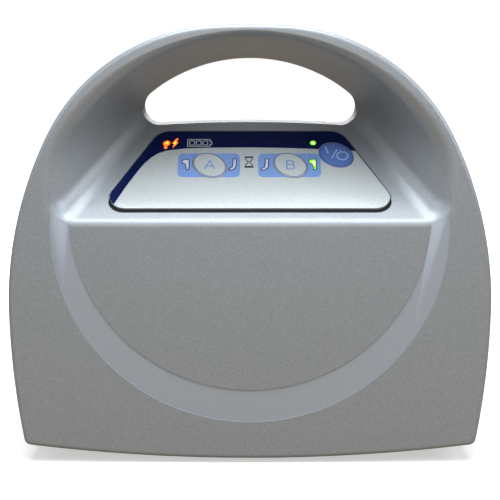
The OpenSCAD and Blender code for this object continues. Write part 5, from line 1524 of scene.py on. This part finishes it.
class OBJECT_OT_pump_label(bpy.types.Operator):
    """Control label with its printed artwork"""
    bl_idname = "object.pump_label"
    bl_label = "Control label"

    def execute(self, context):
        housing = Housing(context.scene.pump_sizes)
        bed = -LABEL_THICK + GAP_SHADE_THICK
        plate = solid_between(bevel_rings(housing, label_outline, bed, 0.0, LABEL_EDGE))
        plate = carve(plain_mesh("label_plate", *plate), key_cutters(housing, KEY_GAP, -3))
        finish_piece("label_plate", plate, "label", smooth=50, node="overlay_label")
        # The near-black sheet under the label is painted shade: it shows as the shadow in the gap round the
        # label
        gasket = floor_prism(housing, label_outline(LABEL_GAP - 0.02, -LABEL_GROOVE), -LABEL_THICK, bed)
        gasket = carve(plain_mesh("label_gasket", *gasket), key_cutters(housing, KEY_GAP, -3))
        finish_piece("label_gasket", gasket, "gasket", smooth=30)
        self.print_fields(housing)
        self.print_symbols(housing)
        return {"FINISHED"}

    def print_fields(self, housing):
        middle, high = (FIELD_LOW + FIELD_HIGH) / 2, FIELD_HIGH - FIELD_LOW
        fields = [box_outline(((a + b) / 2, middle), b - a, high, FIELD_CORNER) for a, b in FIELDS]
        for name, outlines, finish in (
            ("header_print", [header_outline()], "navy"),
            ("key_fields", fields, "pale_blue"),
        ):
            layer = plain_mesh(name, *raised(housing, outlines, PRINT_THICK))
            layer = carve(layer, key_cutters(housing, KEY_GAP + 0.05, -1))
            finish_piece(name, layer, finish, smooth=30)

    def print_symbols(self, housing):
        """Symbols stand a little prouder than the fields, and the lit cores prouder still."""
        lit_foot = moved(FOOT, LIT_FOOT)
        figures = [moved(FOOT, DARK_FOOT)] + [moved(LEG, place) for place in LEG_PLACES]
        foot_core = moved(FOOT, (LIT_FOOT[0] + 0.35, LIT_FOOT[1] + 0.6), 0.45)
        cores = [moved(BOLT_BODY, BOLT, 0.5), moved(circle((0.3, 0.5), 0.6), PLUG)]
        for name, outlines, layers, finish in (
            ("leg_symbols", figures, 1.5, "icon_fill"),
            ("lit_foot", [lit_foot], 1.5, "lit_green"),
            ("lit_foot_core", [foot_core], 2, "lit_core"),
            ("plug_symbol", [moved(PLUG_BODY, PLUG)], 2, "lit_orange"),
            ("bolt_symbol", [moved(BOLT_BODY, BOLT)], 2, "lit_orange"),
            ("lit_cores", cores, 2.5, "lit_yellow"),
            ("ready_lamp", [circle(LAMP, LAMP_RADIUS)], 2, "lit_green"),
            ("ready_lamp_core", [circle(LAMP, LAMP_RADIUS * 0.5)], 2.5, "lit_core"),
        ):
            add_piece(name, raised(housing, outlines, layers * PRINT_THICK), finish, smooth=30)
        ends = [moved(line, HOURGLASS) for line in GLASS_ENDS]
        for name, lines, width, closed, finish in (
            ("leg_symbol_edges", figures + [lit_foot], SYMBOL_LINE, True, "print_dark"),
            ("hourglass", [moved(GLASS, HOURGLASS)], 0.4, True, "print_dark"),
            ("hourglass_ends", ends, 0.55, False, "print_dark"),
            ("battery_symbol", battery_lines(), SYMBOL_LINE, True, "print_light"),
        ):
            strips = raised_line(housing, lines, width, 0, 2 * PRINT_THICK, closed)
            add_piece(name, strips, finish, smooth=30)


class OBJECT_OT_pump_keys(bpy.types.Operator):
    """The three oval keys, each with its marking, on the body that presses in"""
    bl_idname = "object.pump_keys"
    bl_label = "Keys"

    def execute(self, context):
        housing = Housing(context.scene.pump_sizes)
        top, low = KEY_PROUD, KEY_FLANGE_TOP

        def mark(name, lines, width, finish, body, slot, closed=False):
            strips = raised_line(housing, lines, width, top, top + PRINT_THICK, closed)
            add_piece(name, strips, finish, body=body, smooth=30, slot=slot)
        for key, centre, body, finish, slot in (
            ("key_a", KEY_A, "leg_key_a", "label", "label_film"),
            ("key_b", KEY_B, "leg_key_b", "label", "label_film"),
            ("key_power", KEY_POWER, "switch_key", "key_blue", "power_key_film"),
        ):
            flange = oval(centre, KEY_FLANGE)
            rings = [[housing.on_floor(x, v, w) for x, v in flange] for w in (low - KEY_FLANGE_THICK, low)]
            rings += bevel_rings(housing, lambda grow: oval(centre, grow), low, top, KEY_EDGE, 4)
            add_piece(key + "_cap", solid_between(rings), finish, body=body, smooth=50, node=key, slot=slot)
            mark(key + "_edge", [oval(centre, -0.48)], KEY_EDGE_LINE, "key_edge", body, slot, True)
        on_leg_key = LETTER_LINE, "print_blue"
        on_power_key = POWER_LINE, "key_print", "switch_key", "power_key_film"
        for name, lines, centre, *how in (
            ("letter_a", LETTER_A, KEY_A, *on_leg_key, "leg_key_a", "label_film"),
            ("letter_b", letter_b(), KEY_B, *on_leg_key, "leg_key_b", "label_film"),
            ("power_marks", POWER_MARKS, KEY_POWER, *on_power_key),
            ("power_ring", [circle(*POWER_RING)], KEY_POWER, *on_power_key, True),
        ):
            mark(name, [moved(line, centre) for line in lines], *how)
        return {"FINISHED"}


class OBJECT_OT_pump_stage(bpy.types.Operator):
    """Floor, light and camera"""
    bl_idname = "object.pump_stage"
    bl_label = "Stage"

    def execute(self, context):
        scene = context.scene
        scene.view_settings.view_transform = "Standard"
        floor_mesh = bpy.data.meshes.new("floor")
        corners = [(*corner, 0) for corner in box_outline((0, 0), 2 * FLOOR_REACH, 2 * FLOOR_REACH)]
        floor_mesh.from_pydata(corners, [], [(0, 1, 2, 3)])
        floor_mesh.materials.append(studio_floor())
        linked("floor", floor_mesh)
        scene.world = studio_world()
        for name, (place, aim, size, power, tint) in LIGHTS.items():
            light = bpy.data.lights.new(name, "AREA")
            light.shape = "RECTANGLE"
            light.size, light.size_y = size
            light.energy = power
            light.color = tint
            lamp = linked(name, light)
            lamp.location = place
            lamp.rotation_euler = (Vector(aim) - Vector(place)).to_track_quat("-Z", "Y").to_euler()
        camera_data = bpy.data.cameras.new("camera")
        camera_data.sensor_width = 36.0
        camera_data.lens = CAMERA_LENS
        camera = linked("camera", camera_data)
        camera.location = (0.0, FRONT * MM - CAMERA_AWAY, CAMERA_HEIGHT)
        camera.rotation_euler = (radians(90 - CAMERA_DIP), 0, 0)
        scene.camera = camera
        return {"FINISHED"}


class VIEW3D_PT_therapy_pump(bpy.types.Panel):
    """The pump's pieces, in the order in which they are built"""
    bl_label = "Therapy Pump"
    bl_space_type = "VIEW_3D"
    bl_region_type = "UI"
    bl_category = "Therapy Pump"

    def draw(self, context):
        for step in STEPS:
            self.layout.operator(step.bl_idname)


STEPS = (
    OBJECT_OT_pump_finishes, OBJECT_OT_pump_front_cover, OBJECT_OT_pump_rear_housing, OBJECT_OT_pump_label,
    OBJECT_OT_pump_keys, OBJECT_OT_pump_bed_hook, OBJECT_OT_pump_ports, OBJECT_OT_pump_mains_inlet,
    OBJECT_OT_pump_intake, OBJECT_OT_pump_screws, OBJECT_OT_pump_feet, OBJECT_OT_pump_stage,
)
CLASSES = (PumpSizes, PumpColours, *STEPS, VIEW3D_PT_therapy_pump)


def register():
    for each in CLASSES:
        bpy.utils.register_class(each)
    bpy.types.Scene.pump_sizes = PointerProperty(type=PumpSizes)
    bpy.types.Scene.pump_colours = PointerProperty(type=PumpColours)


def unregister():
    del bpy.types.Scene.pump_colours
    del bpy.types.Scene.pump_sizes
    for each in reversed(CLASSES):
        bpy.utils.unregister_class(each)


def main():
    register()
    for step in STEPS:
        group, name = step.bl_idname.split(".")
        getattr(getattr(bpy.ops, group), name)()


if __name__ == "__main__":
    main()
